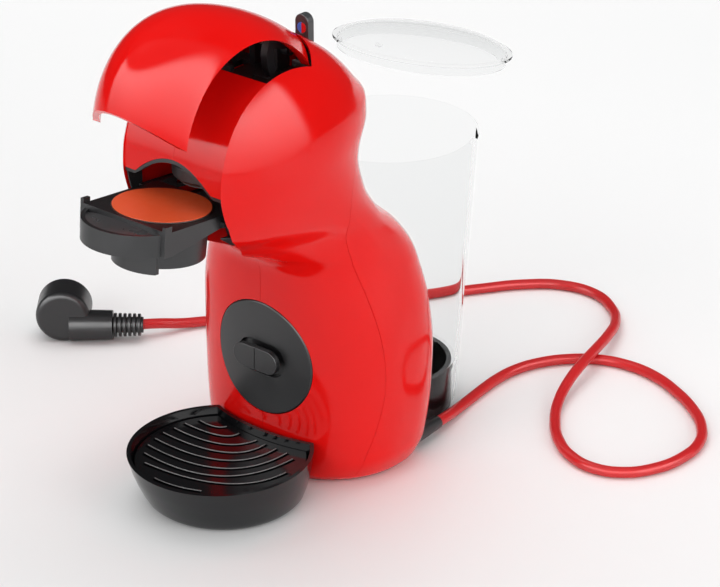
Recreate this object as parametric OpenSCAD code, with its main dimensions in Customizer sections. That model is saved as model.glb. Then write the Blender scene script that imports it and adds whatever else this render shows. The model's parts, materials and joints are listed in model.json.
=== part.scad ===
// Pod coffee machine with an open hood, a drawn-out capsule holder and a lift-off water tank.
// The floor is z = 0, the machine faces -Y and the plane x = 0 is its plane of symmetry.
// The body is a loft through level stations; the head is cut open between two circular rims.

/* [Shell] */
// Wall thickness of the large mouldings
wall = 2.6; // [2:0.1:3.2]
// Height of the shell's lower edge over the floor
shell_bottom = 0.6; // [0.4:0.1:1]
// Gap round a cover that sits in another part
cover_gap = 0.3; // [0.2:0.05:0.5]
// Half width of the hood bay between the two side shells
bay_half = 35; // [34.5:0.1:36]
// Centre of the round rim of a side shell, along Y
rim_y = -69.9; // [-71:0.1:-69]
// Centre of the round rim of a side shell, height
rim_z = 206.1; // [205:0.1:207]
// Radius of the round rim of a side shell
rim_r = 52.5; // [52:0.1:53]
// Radius of the recessed drum between the side shells
drum_r = 51.6; // [51:0.1:51.8]
// Height of the crown of the mouth's arch
mouth_top = 213.3; // [212:0.1:215]
// Drop of the arch over the square of the distance from the middle
mouth_drop = 0.01765; // [0.0170:0.0001:0.0180]
// Height of the flat shoulders beside the mouth's arch
shoulder_z = 200.5; // [200:0.1:202]

/* [Hood] */
// Half width of the hood at its rims
hood_half = 33.4; // [33:0.1:33.8]
// Wall thickness of the hood
hood_wall = 2.6; // [2.2:0.1:3]
// Radius of the side rims of the hood
hood_rim_r = 52.1; // [52:0.1:52.4]
// Opening angle of the hood
hood_open = 32; // [30:1:34]
// Hinge line of the hood, along Y
hinge_y = -43.4; // [-44:0.1:-43]
// Hinge line of the hood, height
hinge_z = 258.6; // [258:0.1:259]
// Radius of the hinge pin
hinge_pin_r = 2; // [1.6:0.1:2.4]

/* [Capsule holder] */
// Distance by which the holder is drawn out
holder_out = 40; // [36:1:44]
// Slope of the holder's rails
holder_tilt = 5.8; // [4:0.1:7]
// Centre of the pod when drawn out, along Y
pod_y = -129.9; // [-131:0.1:-129]
// Height of the pod's lid when drawn out
pod_z = 193.4; // [193:0.1:194]
// Radius of the pod's lid
pod_r = 27; // [26:0.1:27.2]
// Depth of the pod
pod_depth = 24; // [22:1:25]
// Running clearance of the holder in its rails
rail_gap = 0.35; // [0.3:0.05:0.5]

/* [Drip tray] */
// Radius of the tray at its rim
tray_r = 52.5; // [51:0.5:53]
// Height of the tray
tray_h = 29.5; // [28:0.5:31]
// Centre of the tray's rim, along Y
tray_y = -90; // [-91:0.5:-89]
// Wall of the tray
tray_wall = 2.2; // [1.8:0.1:2.6]
// Depth of the grid below the rim
grid_drop = 5; // [4:0.5:6]
// Width of a slot
slot_w = 2.2; // [1.8:0.1:2.6]

/* [Water tank] */
// Axis of the tank, along Y
tank_y = 58.4; // [57.5:0.1:60]
// Outer radius of the tank at the floor
tank_r0 = 40.8; // [40:0.1:41]
// Growth of the tank's radius for each millimetre of height
tank_taper = 0.0605; // [0.058:0.0005:0.062]
// Height of the tank's rim
tank_top = 176.3; // [174:0.1:178]
// Lower edge of the tank's skirt
tank_bottom = 2.6; // [2.4:0.1:4]
// Upper side of the tank's floor
tank_floor = 31; // [30:0.5:34]
// Wall of the tank
tank_wall = 1.8; // [1.4:0.1:2.2]
// Gap between the tank and the cradle behind the body
cradle_gap = 1.2; // [1:0.1:1.6]
// Radius of the tank's lid
lid_r = 52.3; // [52:0.1:53]
// Centre of the lifted lid, along Y
lid_y = 89.1; // [85:0.1:93]
// Height of the lifted lid
lid_z = 217.7; // [214:0.1:222]
// Tilt of the lifted lid
lid_tilt = 10.5; // [8:0.1:12]

/* [Front disc] */
// Radius of the round disc on the column
disc_r = 34.4; // [33:0.1:35]
// Height of the disc's centre
disc_z = 73.2; // [72:0.1:75]
// Half width of the tray hook
hook_half = 16; // [14:0.5:17]
// Height of the tray hook
hook_h = 14.2; // [13:0.1:15]
// Foremost face of the tray hook
hook_y = -60; // [-61:0.1:-59]

/* [Controls] */
// Width of the lever
lever_w = 9.4; // [8:0.2:10]
// Thickness of the lever
lever_t = 5; // [4:0.2:6]
// Place of the lever, along Y
lever_y = -14.4; // [-15:0.1:-14]
// Height of the lever's tip
lever_top = 267; // [264:1:269]
// Swing of the lever to each side
lever_swing = 12; // [8:1:14]
// Length of the power button's frame
button_len = 38; // [36:1:40]
// Width of the power button's frame
button_w = 16; // [14:1:18]
// Travel of the power button
button_travel = 1.5; // [1:0.1:2]

/* [Cord] */
// Diameter of the mains cord
cord_d = 6.5; // [6:0.1:7]
// Height of the cord's outlet over the floor
cord_exit_z = 8; // [7.5:0.1:9]
// Diameter of the plug's body
plug_d = 34; // [33:1:36]
// Length of the plug's body
plug_len = 22; // [20:1:26]

/* [Hidden] */
seat_gap = 0.6;
seat_r = tank_r0 - tank_wall - seat_gap;
frame_side = 2;
frame_half = bay_half - frame_side;

tiny = 0.01;
far = 400;
round_fn = 64;

// Body stations: height, half width, front, widest line, back, squareness of the back and of the front.
STATIONS = [
  [0, 55, -50, 0, 36, 2.1, 2.1],
  [6, 61, -53.5, -3, 38, 2.3, 2.3],
  [18, 66, -54, -6, 40, 2.5, 2.5],
  [45, 68.5, -54, -5, 43.5, 2.5, 2.5],
  [72, 69, -54, -4.7, 44.6, 2.5, 2.5],
  [98, 68, -54, -6.4, 41.2, 2.5, 2.5],
  [127, 62.5, -54, -10.3, 36, 2.4, 2.4],
  [134, 61, -56, -14, 34, 2.35, 2.25],
  [140, 59.8, -61.5, -17, 30, 2.3, 2],
  [145, 59, -73, -20, 26, 2.25, 1.75],
  [150, 58.3, -88, -23, 20, 2.2, 1.5],
  [160, 57, -119, -30, 9, 2.1, 1.3],
  [175, 56.5, -140, -45, 2, 2, 1.6],
  [190, 56.6, -139, -57, 0, 2, 1.9],
  [206, 56.7, -136.6, -70, 9, 2, 2],
  [215, 56.1, -136, -70, 14.5, 2, 2],
  [223, 54.8, -134, -70, 15, 2, 2],
  [231, 52.5, -131.6, -70, 8.5, 2, 2],
  [240, 48.4, -128, -70, 0.5, 2, 2],
  [250, 42.3, -121.3, -70, -11, 2, 2],
  [258.6, 35, -114, -70, -24, 2, 2],
  [263, 29, -108, -70, -31.5, 2, 2]];
station_top = 263;
neck_z = 130;
brow_z = 176;

// Slope of the tangent at a station, kept monotone so that the loft doesn't overshoot.
function secant(i, k) = (STATIONS[i + 1][k] - STATIONS[i][k]) / (STATIONS[i + 1][0] - STATIONS[i][0]);
function slope(i, k) =
  i == 0 ? secant(0, k)
  : i == len(STATIONS) - 1 ? secant(i - 1, k)
  : let (a = secant(i - 1, k), b = secant(i, k)) (a * b <= 0 ? 0 : 2 * a * b / (a + b));
function span_of(z, i = 0) = (i >= len(STATIONS) - 2 || z <= STATIONS[i + 1][0]) ? i : span_of(z, i + 1);
function at_height(z, k) =
  let (i = span_of(z), z0 = STATIONS[i][0], h = STATIONS[i + 1][0] - z0, t = (z - z0) / h)
  STATIONS[i][k] * (1 + 2 * t) * (1 - t) * (1 - t) + h * slope(i, k) * t * (1 - t) * (1 - t)
  + STATIONS[i + 1][k] * t * t * (3 - 2 * t) + h * slope(i + 1, k) * t * t * (t - 1);

// One point of the body's surface; a is -90 at the front and 90 at the back.
function power(v, e) = sign(v) * pow(abs(v), e);
function body_point(z, a, inset) =
  let (w = at_height(z, 1) - inset, front = at_height(z, 2) + inset, mid = at_height(z, 3),
       back = at_height(z, 4) - inset, e = 2 / at_height(z, a < 0 ? 6 : 5),
       reach = a < 0 ? mid - front : back - mid)
  [w * power(cos(a), e), mid + reach * power(sin(a), e), z];

// Closed solid from rings of equal length.
module ring_stack(rings) {
  n = len(rings[0]);
  last = len(rings) - 1;
  points = [for (r = rings) each r];
  sides = [for (j = [0:last - 1], i = [0:n - 1])
    let (a = j * n + i, b = j * n + (i + 1) % n)
    each [[a, a + n, b], [b, a + n, b + n]]];
  polyhedron(points, concat(sides, [[for (i = [0:n - 1]) i], [for (i = [n - 1:-1:0]) last * n + i]]));
}

// Heights of the body's rings from low to high, closer together at the neck and the crown.
function body_levels(low, high, k) = concat(
  [for (i = [0:k - 1]) low + i * (neck_z - low) / k],
  [for (i = [0:k - 1]) neck_z + i * (brow_z - neck_z) / k],
  [for (i = [0:k + 1]) brow_z + (high - brow_z) * sin(90 * i / (k + 1))]);
function even_levels(low, high, k) = [for (i = [0:k]) low + i * (high - low) / k];

// Right half of the body's loft through the given heights, from one angle of the outline to another.
module half_loft(inset, levels, first, last, steps) {
  ring_stack([for (z = levels) concat(last - first < 180 ? [[0, at_height(z, 3) - 3 * inset, z]] : [],
    [for (i = [0:steps]) body_point(z, first + (last - first) * i / steps, inset)])]);
}
module both_halves(inset, levels, first, last, steps) {
  for (s = [0, 1]) mirror([s, 0, 0]) half_loft(inset, levels, first, last, steps);
}

module outer_half(first) {
  half_loft(0, body_levels(shell_bottom, station_top, 10), first, 90, round((90 - first) / 8.2));
}

module inner_half(first) {
  half_loft(wall, body_levels(shell_bottom - 0.5, station_top - wall, 8), first, 90, round((90 - first) / 12.9));
}

// Round bar along X through a point of the YZ plane.
module bar_x(y, z, r, length) {
  translate([-length / 2, y, z]) rotate([0, 90, 0]) cylinder(r = r, h = length, $fn = round_fn);
}

// Outline in the YZ plane, drawn out along X.
module slab_x(outline, length) {
  translate([-length / 2, 0, 0]) rotate([90, 0, 90]) linear_extrude(length) polygon(outline);
}

// Outline in the XZ plane, drawn out along Y from y0 to y1.
module slab_y(outline, y0, y1) {
  translate([0, y1, 0]) rotate([90, 0, 0]) linear_extrude(y1 - y0) polygon(outline);
}

// Round bar along Y.
module bar_y(x, z, r, y0, y1) {
  translate([x, y1, z]) rotate([90, 0, 0]) cylinder(r = r, h = y1 - y0, $fn = round_fn);
}

// Frame of the drawn-out holder: the pod's centre, tilted with the front raised.
module on_holder() {
  translate([0, pod_y, pod_z]) rotate([-holder_tilt, 0, 0]) children();
}

// Bay between the side shells, narrowing under the mouth to a slit on the column.
bay_back = -60;
slit_z = 135;
slit_half = 12;
chin_z = 184;
function bay_outline(grow) = [
  [-slit_half - grow, slit_z - grow], [slit_half + grow, slit_z - grow],
  [bay_half - 15 + grow, 154], [bay_half - 2.5 + grow, 172], [bay_half + grow, chin_z],
  [bay_half + grow, 290], [-bay_half - grow, 290],
  [-bay_half - grow, chin_z], [-bay_half + 2.5 - grow, 172], [-bay_half + 15 - grow, 154]];
hood_back = -30;
hood_corner_y = -48.5;
crown_gap = 0.8;
crown_z = 236;
function crown_y(x) = hood_back + crown_gap + (hood_corner_y - hood_back) * pow(x / hood_half, 2);

module bay(grow) {
  slab_y(bay_outline(grow), -200, bay_back);
  crown = [for (i = [-6:6]) let (x = i * bay_half / 6) [x, crown_y(x) + grow]];
  if (grow == 0)
    translate([0, 0, crown_z]) linear_extrude(60) polygon(concat(crown, [[bay_half, -200], [-bay_half, -200]]));
}

// Space that the tank takes out of the body's back.
module cradle(grow) {
  r0 = tank_r0 + cradle_gap + grow;
  height = 260;
  translate([0, tank_y, 0]) cylinder(r1 = r0, r2 = r0 + tank_taper * height, h = height, $fn = round_fn);
}

// Everything below the mouth's arch, raised by rise.
module under_arch(rise, y0, y1) {
  reach = 36;
  floor_z = 150;
  arch = [for (i = [-9:9]) let (x = i * reach / 9) [x, max(mouth_top - mouth_drop * x * x, shoulder_z) + rise]];
  slab_y(concat(arch, [[reach, floor_z], [-reach, floor_z]]), y0, y1);
}

// Cylinder wall of the drum from its top edge down to the mouth.
drum_wall = 2.4;
drum_top_y = -84;
lip_h = 2.2;
module drum(half_width) {
  drum_low = 188;
  difference() {
    bar_x(rim_y, rim_z, drum_r, 2 * half_width);
    bar_x(rim_y, rim_z, drum_r - drum_wall, 2 * half_width + 2);
    translate([-50, drum_top_y, 100]) cube([100, 100, 200]);
    translate([-50, -150, drum_low - 100]) cube([100, 100, 100]);
    under_arch(lip_h, -150, -60);
  }
}

// Line in the YZ plane between the side shells and the back cover.
SEAM = [[-33, -5], [-34.5, 16], [-30, 35], [-25.5, 55], [-24.5, 70], [-26, 88], [-29.5, 107], [-33, 125],
  [-38, 142], [-42.5, 156], [-44, 168], [-41.5, 182], [-33.5, 193.5], [-22, 201], [-8, 207.5], [6, 213],
  [14, 217], [60, 224]];
module behind_seam() {
  slab_x(concat(SEAM, [[80, 224], [80, -5]]), 200);
}

// Frame of the power button: its middle on the back slope of the head.
button_y = 4.5;
button_z = 232.5;
button_slope = 45;
module on_slope() {
  translate([0, button_y, button_z]) rotate([-button_slope, 0, 0]) children();
}

// Stadium of given length along Y and width along X.
module stadium(length, width, height) {
  straight = length - width;
  for (s = [-1, 1]) translate([0, s * straight / 2, 0]) cylinder(d = width, h = height, $fn = round_fn);
  translate([-width / 2, -straight / 2, 0]) cube([width, straight, height]);
}

lever_slot_half = lever_w / 2 + 5;
relief_x = 50;
relief_y = 26;
relief_r0 = 4.8;
relief_r1 = 3.8;
relief_len = 18;

// Cuts shared by the three covers.
module cover_cuts(cord_side) {
  bay(0);
  cradle(0);
  bar_y(0, disc_z, disc_r + cover_gap, -70, -30);
  translate([-lever_slot_half, lever_y - lever_t / 2 - 1, 225])
    cube([2 * lever_slot_half, lever_t + 2, 40]);
  on_slope() translate([0, 0, -25]) stadium(button_len, button_w, 50);
  if (cord_side) bar_y(relief_x, cord_exit_z, relief_r0 + cover_gap, relief_y - 12, 60);
  translate([-neck_half - cover_gap, 2, -1])
    cube([2 * (neck_half + cover_gap), 30, neck_top + cover_gap + 1]);
}

module cover_core(first) {
  difference() {
    inner_half(first);
    bay(2);
    cradle(wall);
  }
}

module half_cover(cord_side, first = -90, core_first = -90) {
  difference() {
    outer_half(first);
    cover_core(core_first);
    cover_cuts(cord_side);
  }
}

drum_anchor = bay_half + 1;
module side_shell(cord_side) {
  difference() {
    half_cover(cord_side);
    behind_seam();
  }
  screw_boss(SCREW_PLACES[1], [SCREW_PLACES[1][0], -52]);
  intersection() {
    drum(drum_anchor);
    translate([0, -200, 100]) cube([60, 200, 200]);
  }
}

module right_shell() {
  color("red") side_shell(true);
}

module left_shell() {
  color("red") mirror([1, 0, 0]) side_shell(false);
}

module back_cover() {
  color("red") intersection() {
    union() {
      half_cover(true, -40, -46);
      mirror([1, 0, 0]) half_cover(false, -40, -46);
    }
    behind_seam();
  }
  color("red") for (s = [0, 1]) mirror([s, 0, 0]) {
    screw_boss(SCREW_PLACES[0], [62, SCREW_PLACES[0][1]]);
    screw_boss(SCREW_PLACES[2], [60, SCREW_PLACES[2][1]]);
  }
}

// Floor of the machine inside the shells and under the tank.
base_top = 5;
base_bottom = 1;
neck_half = 8;
neck_top = 22.6;
module base_plate() {
  edge = wall + 0.6;
  outline = [for (i = [0:23]) let (a = -90 + 180 * i / 23, p = body_point(base_bottom, a, edge)) [p[0], p[1]]];
  left = [for (i = [23:-1:0]) [-outline[i][0], outline[i][1]]];
  color("black") {
    difference() {
      translate([0, 0, base_bottom]) linear_extrude(base_top - base_bottom) polygon(concat(outline, left));
      translate([0, tank_y, base_bottom - 1])
        cylinder(r = tank_r0 + cradle_gap + wall + 0.4, h = 10, $fn = round_fn);
      for (p = FOOT_PLACES) translate([p[0], p[1], 0]) cylinder(r = foot_r + 0.1, h = 2, $fn = round_fn);
      for (s = [-1, 1], p = SCREW_PLACES) translate([s * p[0], p[1], 0]) {
        cylinder(r = screw_r, h = 10, $fn = round_fn);
        cylinder(r = 3.2, h = base_bottom + 2, $fn = round_fn);
      }
      bar_y(relief_x, cord_exit_z, relief_r0 + cover_gap, relief_y - 12, 60);
      translate([-neck_half - cover_gap, 9.7, tank_bottom - 0.4]) cube([2 * (neck_half + cover_gap), 20, 10]);
    }
    difference() {
      translate([0, tank_y, base_bottom]) cylinder(r = seat_r, h = tank_bottom - base_bottom - 0.4, $fn = round_fn);
      translate([0, tank_y + 26, 0]) cylinder(r = foot_r + 0.1, h = 2, $fn = round_fn);
    }
    translate([-neck_half, 8, base_bottom]) cube([2 * neck_half, 20, tank_bottom - base_bottom - 0.4]);
  }
}

foot_r = 5;
FOOT_PLACES = [[34, -30], [-34, -30], [0, 0], [36, 14], [-36, 14]];
module rubber_feet() {
  color("dimgray") {
    for (p = FOOT_PLACES) translate([p[0], p[1], 0]) cylinder(r = foot_r, h = 2, $fn = round_fn);
    translate([0, tank_y + 26, 0]) cylinder(r = foot_r, h = 2, $fn = round_fn);
  }
}

screw_r = 1.6;
boss_r = 4.2;
boss_top = 17;
SCREW_PLACES = [[48, -12], [21, -41], [40, 4]];
// Pillar over the base plate with a rib to the wall, for one screw.
module screw_boss(at, wall_at) {
  rib = wall_at - at;
  difference() {
    union() {
      translate([at[0], at[1], base_top]) cylinder(r = boss_r, h = boss_top - base_top, $fn = round_fn);
      translate([at[0], at[1], base_top + 2]) rotate([0, 0, atan2(rib[1], rib[0])])
        translate([0, -1, 0]) cube([norm(rib), 2, boss_top - base_top - 4]);
    }
    translate([at[0], at[1], 0]) cylinder(r = screw_r, h = boss_top - 3, $fn = round_fn);
  }
}

module base_screws() {
  color("silver") for (s = [-1, 1], p = SCREW_PLACES) translate([s * p[0], p[1], 0]) {
    translate([0, 0, base_bottom + 1]) cylinder(r = screw_r, h = 11, $fn = round_fn);
    translate([0, 0, base_bottom + 0.2]) cylinder(r = 3, h = 1.8, $fn = round_fn);
  }
}

// Round disc flush with the column, with a pocket for the hook.
disc_back = -46.5;
disc_proud = 0.4;
hook_pocket_y = -50.5;
module front_disc() {
  color("black") difference() {
    intersection() {
      bar_y(0, disc_z, disc_r, -60, disc_back);
      both_halves(-disc_proud, even_levels(disc_z - disc_r - 2, disc_z + disc_r + 2, 6), -90, -10, 11);
    }
    bar_y(0, disc_z, disc_r - 2.4, -50, disc_back + 5);
    translate([0, hook_pocket_y, disc_z]) rotate([90, 90, 0])
      stadium(2 * hook_half + 2, hook_h + 6, 20);
  }
}

// Tab that carries the drip tray at its upper place.
module tray_hook() {
  groove = 0.8;
  color("black") {
    difference() {
      translate([0, hook_y + 3.4, disc_z + 1.2]) rotate([90, 90, 0]) stadium(2 * hook_half, hook_h, 3.4);
      translate([-groove / 2, hook_y - 1, disc_z - 12]) cube([groove, 1.6, 26]);
    }
    translate([-10, hook_y + 3.4 - tiny, disc_z - 3]) cube([20, hook_pocket_y - hook_y - 3.4 + tiny, 5]);
  }
}

// Upright rib that carries the pump, the thermoblock and the board.
chassis_t = 3;
shelf_z = 146;
shelf_t = 4;
pump_x = -26;
pump_y = -20;
pump_r = 16;
pump_z = 22;
pump_len = 78;
block_x = 16;
block_y = -18;
block_z = 96;
block_r = 25;
block_len = 24;
mount_h = 6;
module chassis() {
  color("dimgray") difference() {
    union() {
      translate([-chassis_t / 2, -44, base_top]) cube([chassis_t, 48, shelf_z - base_top + tiny]);
      for (z = [pump_z + 4, pump_z + pump_len - 4 - mount_h])
        translate([pump_x - 6, pump_y + pump_r + 3, z]) cube([-pump_x + 6, 4, mount_h]);
      for (z = [pump_z + 4, pump_z + pump_len - 4 - mount_h])
        translate([pump_x, pump_y, z]) cylinder(r = pump_r + 5, h = mount_h, $fn = round_fn);
      translate([-18, -44, shelf_z]) cube([36, 40, shelf_t]);
    }
    translate([pump_x, pump_y, 0]) cylinder(r = pump_r + 2, h = shelf_z - 10, $fn = round_fn);
    bar_x(block_y, block_z, 6, chassis_t + 2);
    bar_x(-30, 120, 5, chassis_t + 2);
  }
}

module pump_mounts() {
  color("dimgray") for (z = [pump_z + 4, pump_z + pump_len - 4 - mount_h])
    translate([pump_x, pump_y, z]) difference() {
      cylinder(r = pump_r + 2, h = mount_h, $fn = round_fn);
      translate([0, 0, -1]) cylinder(r = pump_r, h = mount_h + 2, $fn = round_fn);
    }
}

module pump() {
  color("silver") translate([pump_x, pump_y, pump_z]) rotate_extrude($fn = round_fn)
    polygon([[0, -8], [3.2, -8], [3.2, 0], [pump_r, 0], [pump_r, pump_len], [10, pump_len],
      [10, pump_len + 8], [3.2, pump_len + 8], [3.2, pump_len + 16], [0, pump_len + 16]]);
}

module thermoblock() {
  color("silver") {
    difference() {
      translate([block_x, block_y, block_z]) rotate([0, 90, 0]) cylinder(r = block_r, h = block_len, $fn = round_fn);
      for (x = [block_x + 6, block_x + 14])
        translate([x, block_y, block_z]) rotate([0, 90, 0]) difference() {
          cylinder(r = block_r + 1, h = 3, $fn = round_fn);
          translate([0, 0, -1]) cylinder(r = block_r - 3, h = 5, $fn = round_fn);
        }
    }
    translate([block_x + 10, block_y - 10, block_z + block_r - 8]) cylinder(r = 3.2, h = 16, $fn = round_fn);
    translate([block_x + 10, block_y, block_z - block_r - 8]) cylinder(r = 3.2, h = 16, $fn = round_fn);
  }
}

module thermoblock_clamp() {
  color("gray") {
    translate([chassis_t / 2, block_y, block_z]) rotate([0, 90, 0])
      cylinder(r = 12, h = block_x - chassis_t / 2, $fn = round_fn);
  }
}

module control_board() {
  board_z = 24;
  color("darkgreen") {
    translate([chassis_t / 2, -38, board_z]) cube([1.6, 34, 34]);
  }
  color("black") {
    translate([chassis_t / 2 + 1.6, -34, board_z + 4]) cube([12, 12, 18]);
    translate([chassis_t / 2 + 1.6, -16, board_z + 8]) cube([8, 10, 10]);
  }
}

// Frame in the top of the head: slotted roof, hinge posts, guide of the brew head.
roof_z = 243;
roof_t = 3;
roof_back = -38;
frame_t = 2.4;
roof_front = -81;
guide_z = 222;
stem_r = 8;
post_x = 6;
post_t = 4;
arm_x = 11;
arm_t = 4.5;
SLOT_Y = [-64, -47];
head_y = pod_y + holder_out * cos(holder_tilt);
inlet_z = 236;
sleeve_top = 241;
sleeve_half = stem_r + 4;
module head_frame() {
  color("black") difference() {
    union() {
      translate([-frame_half, roof_front, roof_z]) cube([2 * frame_half, roof_back - roof_front, roof_t]);
      for (s = [-1, 1]) translate([s * (frame_half - frame_t / 2) - frame_t / 2, roof_front - 6, guide_z])
        cube([frame_t, roof_back - roof_front + 6, roof_z - guide_z + 1]);
      translate([-frame_half, -110, guide_z]) cube([2 * frame_half, 72, 3]);
      for (s = [-1, 1]) translate([s * (post_x + post_t / 2) - post_t / 2, hinge_y - 5, roof_z])
        cube([post_t, 10, hinge_z - roof_z]);
      for (s = [-1, 1]) translate([s * (post_x + post_t / 2), 0, 0]) bar_x(hinge_y, hinge_z, 5, post_t);
      for (s = [-1, 1]) translate([s * (arm_x + arm_t / 2) - arm_t / 2 - 3, SLOT_Y[0] - 2, roof_z + 1])
        cube([arm_t + 6, 3, 5]);
      translate([-sleeve_half, head_y - sleeve_half, guide_z - 4])
        cube([2 * sleeve_half, 2 * sleeve_half, sleeve_top - guide_z + 4]);
      translate([-12, roof_back - 4, shelf_z + shelf_t]) cube([24, 4, roof_z - shelf_z - shelf_t + 1]);
    }
    for (s = [-1, 1]) translate([s * (arm_x + arm_t / 2) - arm_t / 2 - 1, SLOT_Y[0], roof_z - 1])
      cube([arm_t + 2, SLOT_Y[1] - SLOT_Y[0], 12]);
    bar_x(hinge_y, hinge_z, hinge_pin_r + 0.03, 60);
    translate([0, head_y, 100]) cylinder(r = stem_r + 0.3, h = sleeve_top - 2 - 100, $fn = round_fn);
    bar_y(0, inlet_z, hose_r - 1, head_y, head_y + sleeve_half + 1);
    bar_y(0, inlet_z, hose_r + 0.6, roof_back - 5, roof_back + 1);
  }
}

// Arched black lip round the mouth, between the drum and the holder.
leg_in = 33.2;
module mouth_frame() {
  lip_back = -115.4;
  color("black") difference() {
    intersection() {
      bar_x(rim_y, rim_z, drum_r - 0.3, 2 * bay_half - 0.4);
      difference() {
        under_arch(lip_h - 0.2, -130, lip_back);
        under_arch(0, -140, -100);
      }
    }
    translate([-50, -150, 100]) cube([100, 100, chin_z - 100]);
  }
  color("black") for (s = [-1, 1]) intersection() {
    bar_x(rim_y, rim_z, drum_r - 0.6, 2 * bay_half - 0.4);
    translate([s * (leg_in + bay_half - 0.9) / 2 - (bay_half - 0.9 - leg_in) / 2, -124, chin_z - 4])
      cube([bay_half - 0.9 - leg_in, 14, shoulder_z - chin_z + 4 + tiny]);
  }
}

// Rails of the holder and the black chin under the head.
runner_out = 33;
runner_in = 30.4;
runner_z = -5.5;
runner_t = 2.8;
cup_way = 28;
cup_stop_y = -62;
rail_low = 4.5;
rail_high = 4.5;
guide_front = 17;
module holder_guide() {
  rail_in = runner_in + 0.8;
  rail_out = leg_in - 0.2;
  color("black") {
    on_holder() for (s = [-1, 1]) difference() {
      translate([s * (rail_in + rail_out) / 2 - (rail_out - rail_in) / 2, guide_front, runner_z - rail_low])
        cube([rail_out - rail_in, 62, rail_low + rail_high]);
      translate([s * (rail_in + runner_out) / 2 - (runner_out - rail_in) / 2 - rail_gap, guide_front - 1,
        runner_z - runner_t / 2 - rail_gap])
        cube([runner_out - rail_in + 2 * rail_gap, 70, runner_t + 2 * rail_gap]);
    }
    difference() {
      intersection() {
        both_halves(wall + 0.3, concat(even_levels(neck_z, brow_z, 8), even_levels(brow_z + 6, 206, 4)), -90, 0, 9);
        slab_y(bay_outline(-0.3), -125, -46);
        on_holder() translate([-50, -10, -70]) cube([100, 100, 70 + band_low - 0.4]);
      }
      translate([-50, -130, chin_z - 4.3]) cube([100, 20.3, 60]);
      translate([-cup_way, cup_stop_y - 150, 100]) cube([2 * cup_way, 150, 120]);
    }
  }
}

// Hood: outer skin through its spine and its two rim arcs, in the open place.
function turned(p, a) = [
  hinge_y + (p[0] - hinge_y) * cos(a) - (p[1] - hinge_z) * sin(a),
  hinge_z + (p[0] - hinge_y) * sin(a) + (p[1] - hinge_z) * cos(a)];
HOOD_CENTRE = turned([rim_y, rim_z], -hood_open);
SPINE = [[-166, 256.5], [-153, 317.5], [-77, 299.5], [hood_back, 262]];
rim_first = 170;
rim_last = 31;
hood_belly = 1.15;
function bezier(c, t) = c[0] * pow(1 - t, 3) + 3 * c[1] * t * pow(1 - t, 2)
  + 3 * c[2] * t * t * (1 - t) + c[3] * pow(t, 3);
function hood_rim(t, r) = let (a = rim_first + t * (rim_last - rim_first))
  HOOD_CENTRE + r * [cos(a), sin(a)];
function hood_ring(t, inset, r, steps) =
  let (rim = hood_rim(t, r), spine = bezier(SPINE, t), height = norm(spine - rim),
       top = spine - (spine - rim) / height * inset * 1.15, half = hood_half - inset * 1.5)
  concat([for (i = [-steps:steps]) let (s = i / steps, f = pow(1 - s * s, hood_belly), p = rim + (top - rim) * f)
    [half * s, p[0], p[1]]]);
module hood_body(inset, r, t0, t1, steps, rows) {
  ring_stack([for (j = [0:rows]) hood_ring(t0 + (t1 - t0) * j / rows, inset, r, steps)]);
}

module hood() {
  color("red") difference() {
    hood_body(0, hood_rim_r, 0, 1, 10, 22);
    hood_body(hood_wall, hood_rim_r - 2, -0.02, 1.03, 8, 18);
  }
}

// Black inner part of the hood: two curved arms that pass through the slots, and the hinge eyes.
arm_r0 = 14;
arm_r1 = 19.5;
arm_first = 140;
arm_last = 214;
eye_r = 3.8;
module hood_frame() {
  web = [for (i = [0:4]) let (a = arm_first + i * 6) [hinge_y + arm_r1 * cos(a), hinge_z + arm_r1 * sin(a)]];
  band = concat([for (i = [0:12]) let (a = arm_first + i * (arm_last - arm_first) / 12)
      [hinge_y + arm_r1 * cos(a), hinge_z + arm_r1 * sin(a)]],
    [for (i = [12:-1:0]) let (a = arm_first + i * (arm_last - arm_first) / 12)
      [hinge_y + arm_r0 * cos(a), hinge_z + arm_r0 * sin(a)]]);
  leg = [for (q = [[arm_r0, arm_first], [arm_r1, arm_first + 12], [36, arm_first + 4], [36, arm_first - 12]])
    [hinge_y + q[0] * cos(q[1]), hinge_z + q[0] * sin(q[1])]];
  color("black") for (s = [-1, 1]) translate([s * (arm_x + arm_t / 2), 0, 0]) difference() {
    union() {
      slab_x(band, arm_t);
      intersection() {
        slab_x(leg, arm_t);
        translate([-s * (arm_x + arm_t / 2), 0, 0])
          hood_body(hood_wall + 0.2, hood_rim_r - 8, 0.3, 0.9, 5, 7);
      }
      slab_x(concat(web, [[hinge_y, hinge_z]]), arm_t);
      bar_x(hinge_y, hinge_z, eye_r, arm_t);
    }
    bar_x(hinge_y, hinge_z, hinge_pin_r + 0.03, 40);
  }
}

module hood_pin() {
  color("silver") bar_x(hinge_y, hinge_z, hinge_pin_r, 2 * (arm_x + arm_t));
}

// Plunger that the hood presses on the pod.
head_low = 198;
head_r = 22;
module brew_head() {
  color("dimgray") translate([0, head_y, head_low]) rotate_extrude($fn = round_fn)
    polygon([[2.5, 0], [head_r - 2, 0], [head_r, 2], [head_r, 9], [stem_r, 12], [stem_r, 36], [2.5, 36]]);
}

module brew_needle() {
  color("silver") translate([0, head_y, head_low - 1.2]) {
    cylinder(r1 = 0.5, r2 = 1.4, h = 3, $fn = 32);
    translate([0, 0, 3]) cylinder(r = 2.5, h = 20, $fn = 32);
  }
}

module brew_seal() {
  color("gray") translate([0, head_y, head_low - 1]) difference() {
    cylinder(r = 19, h = 1, $fn = round_fn);
    translate([0, 0, -1]) cylinder(r = 15, h = 3, $fn = round_fn);
  }
}

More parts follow.
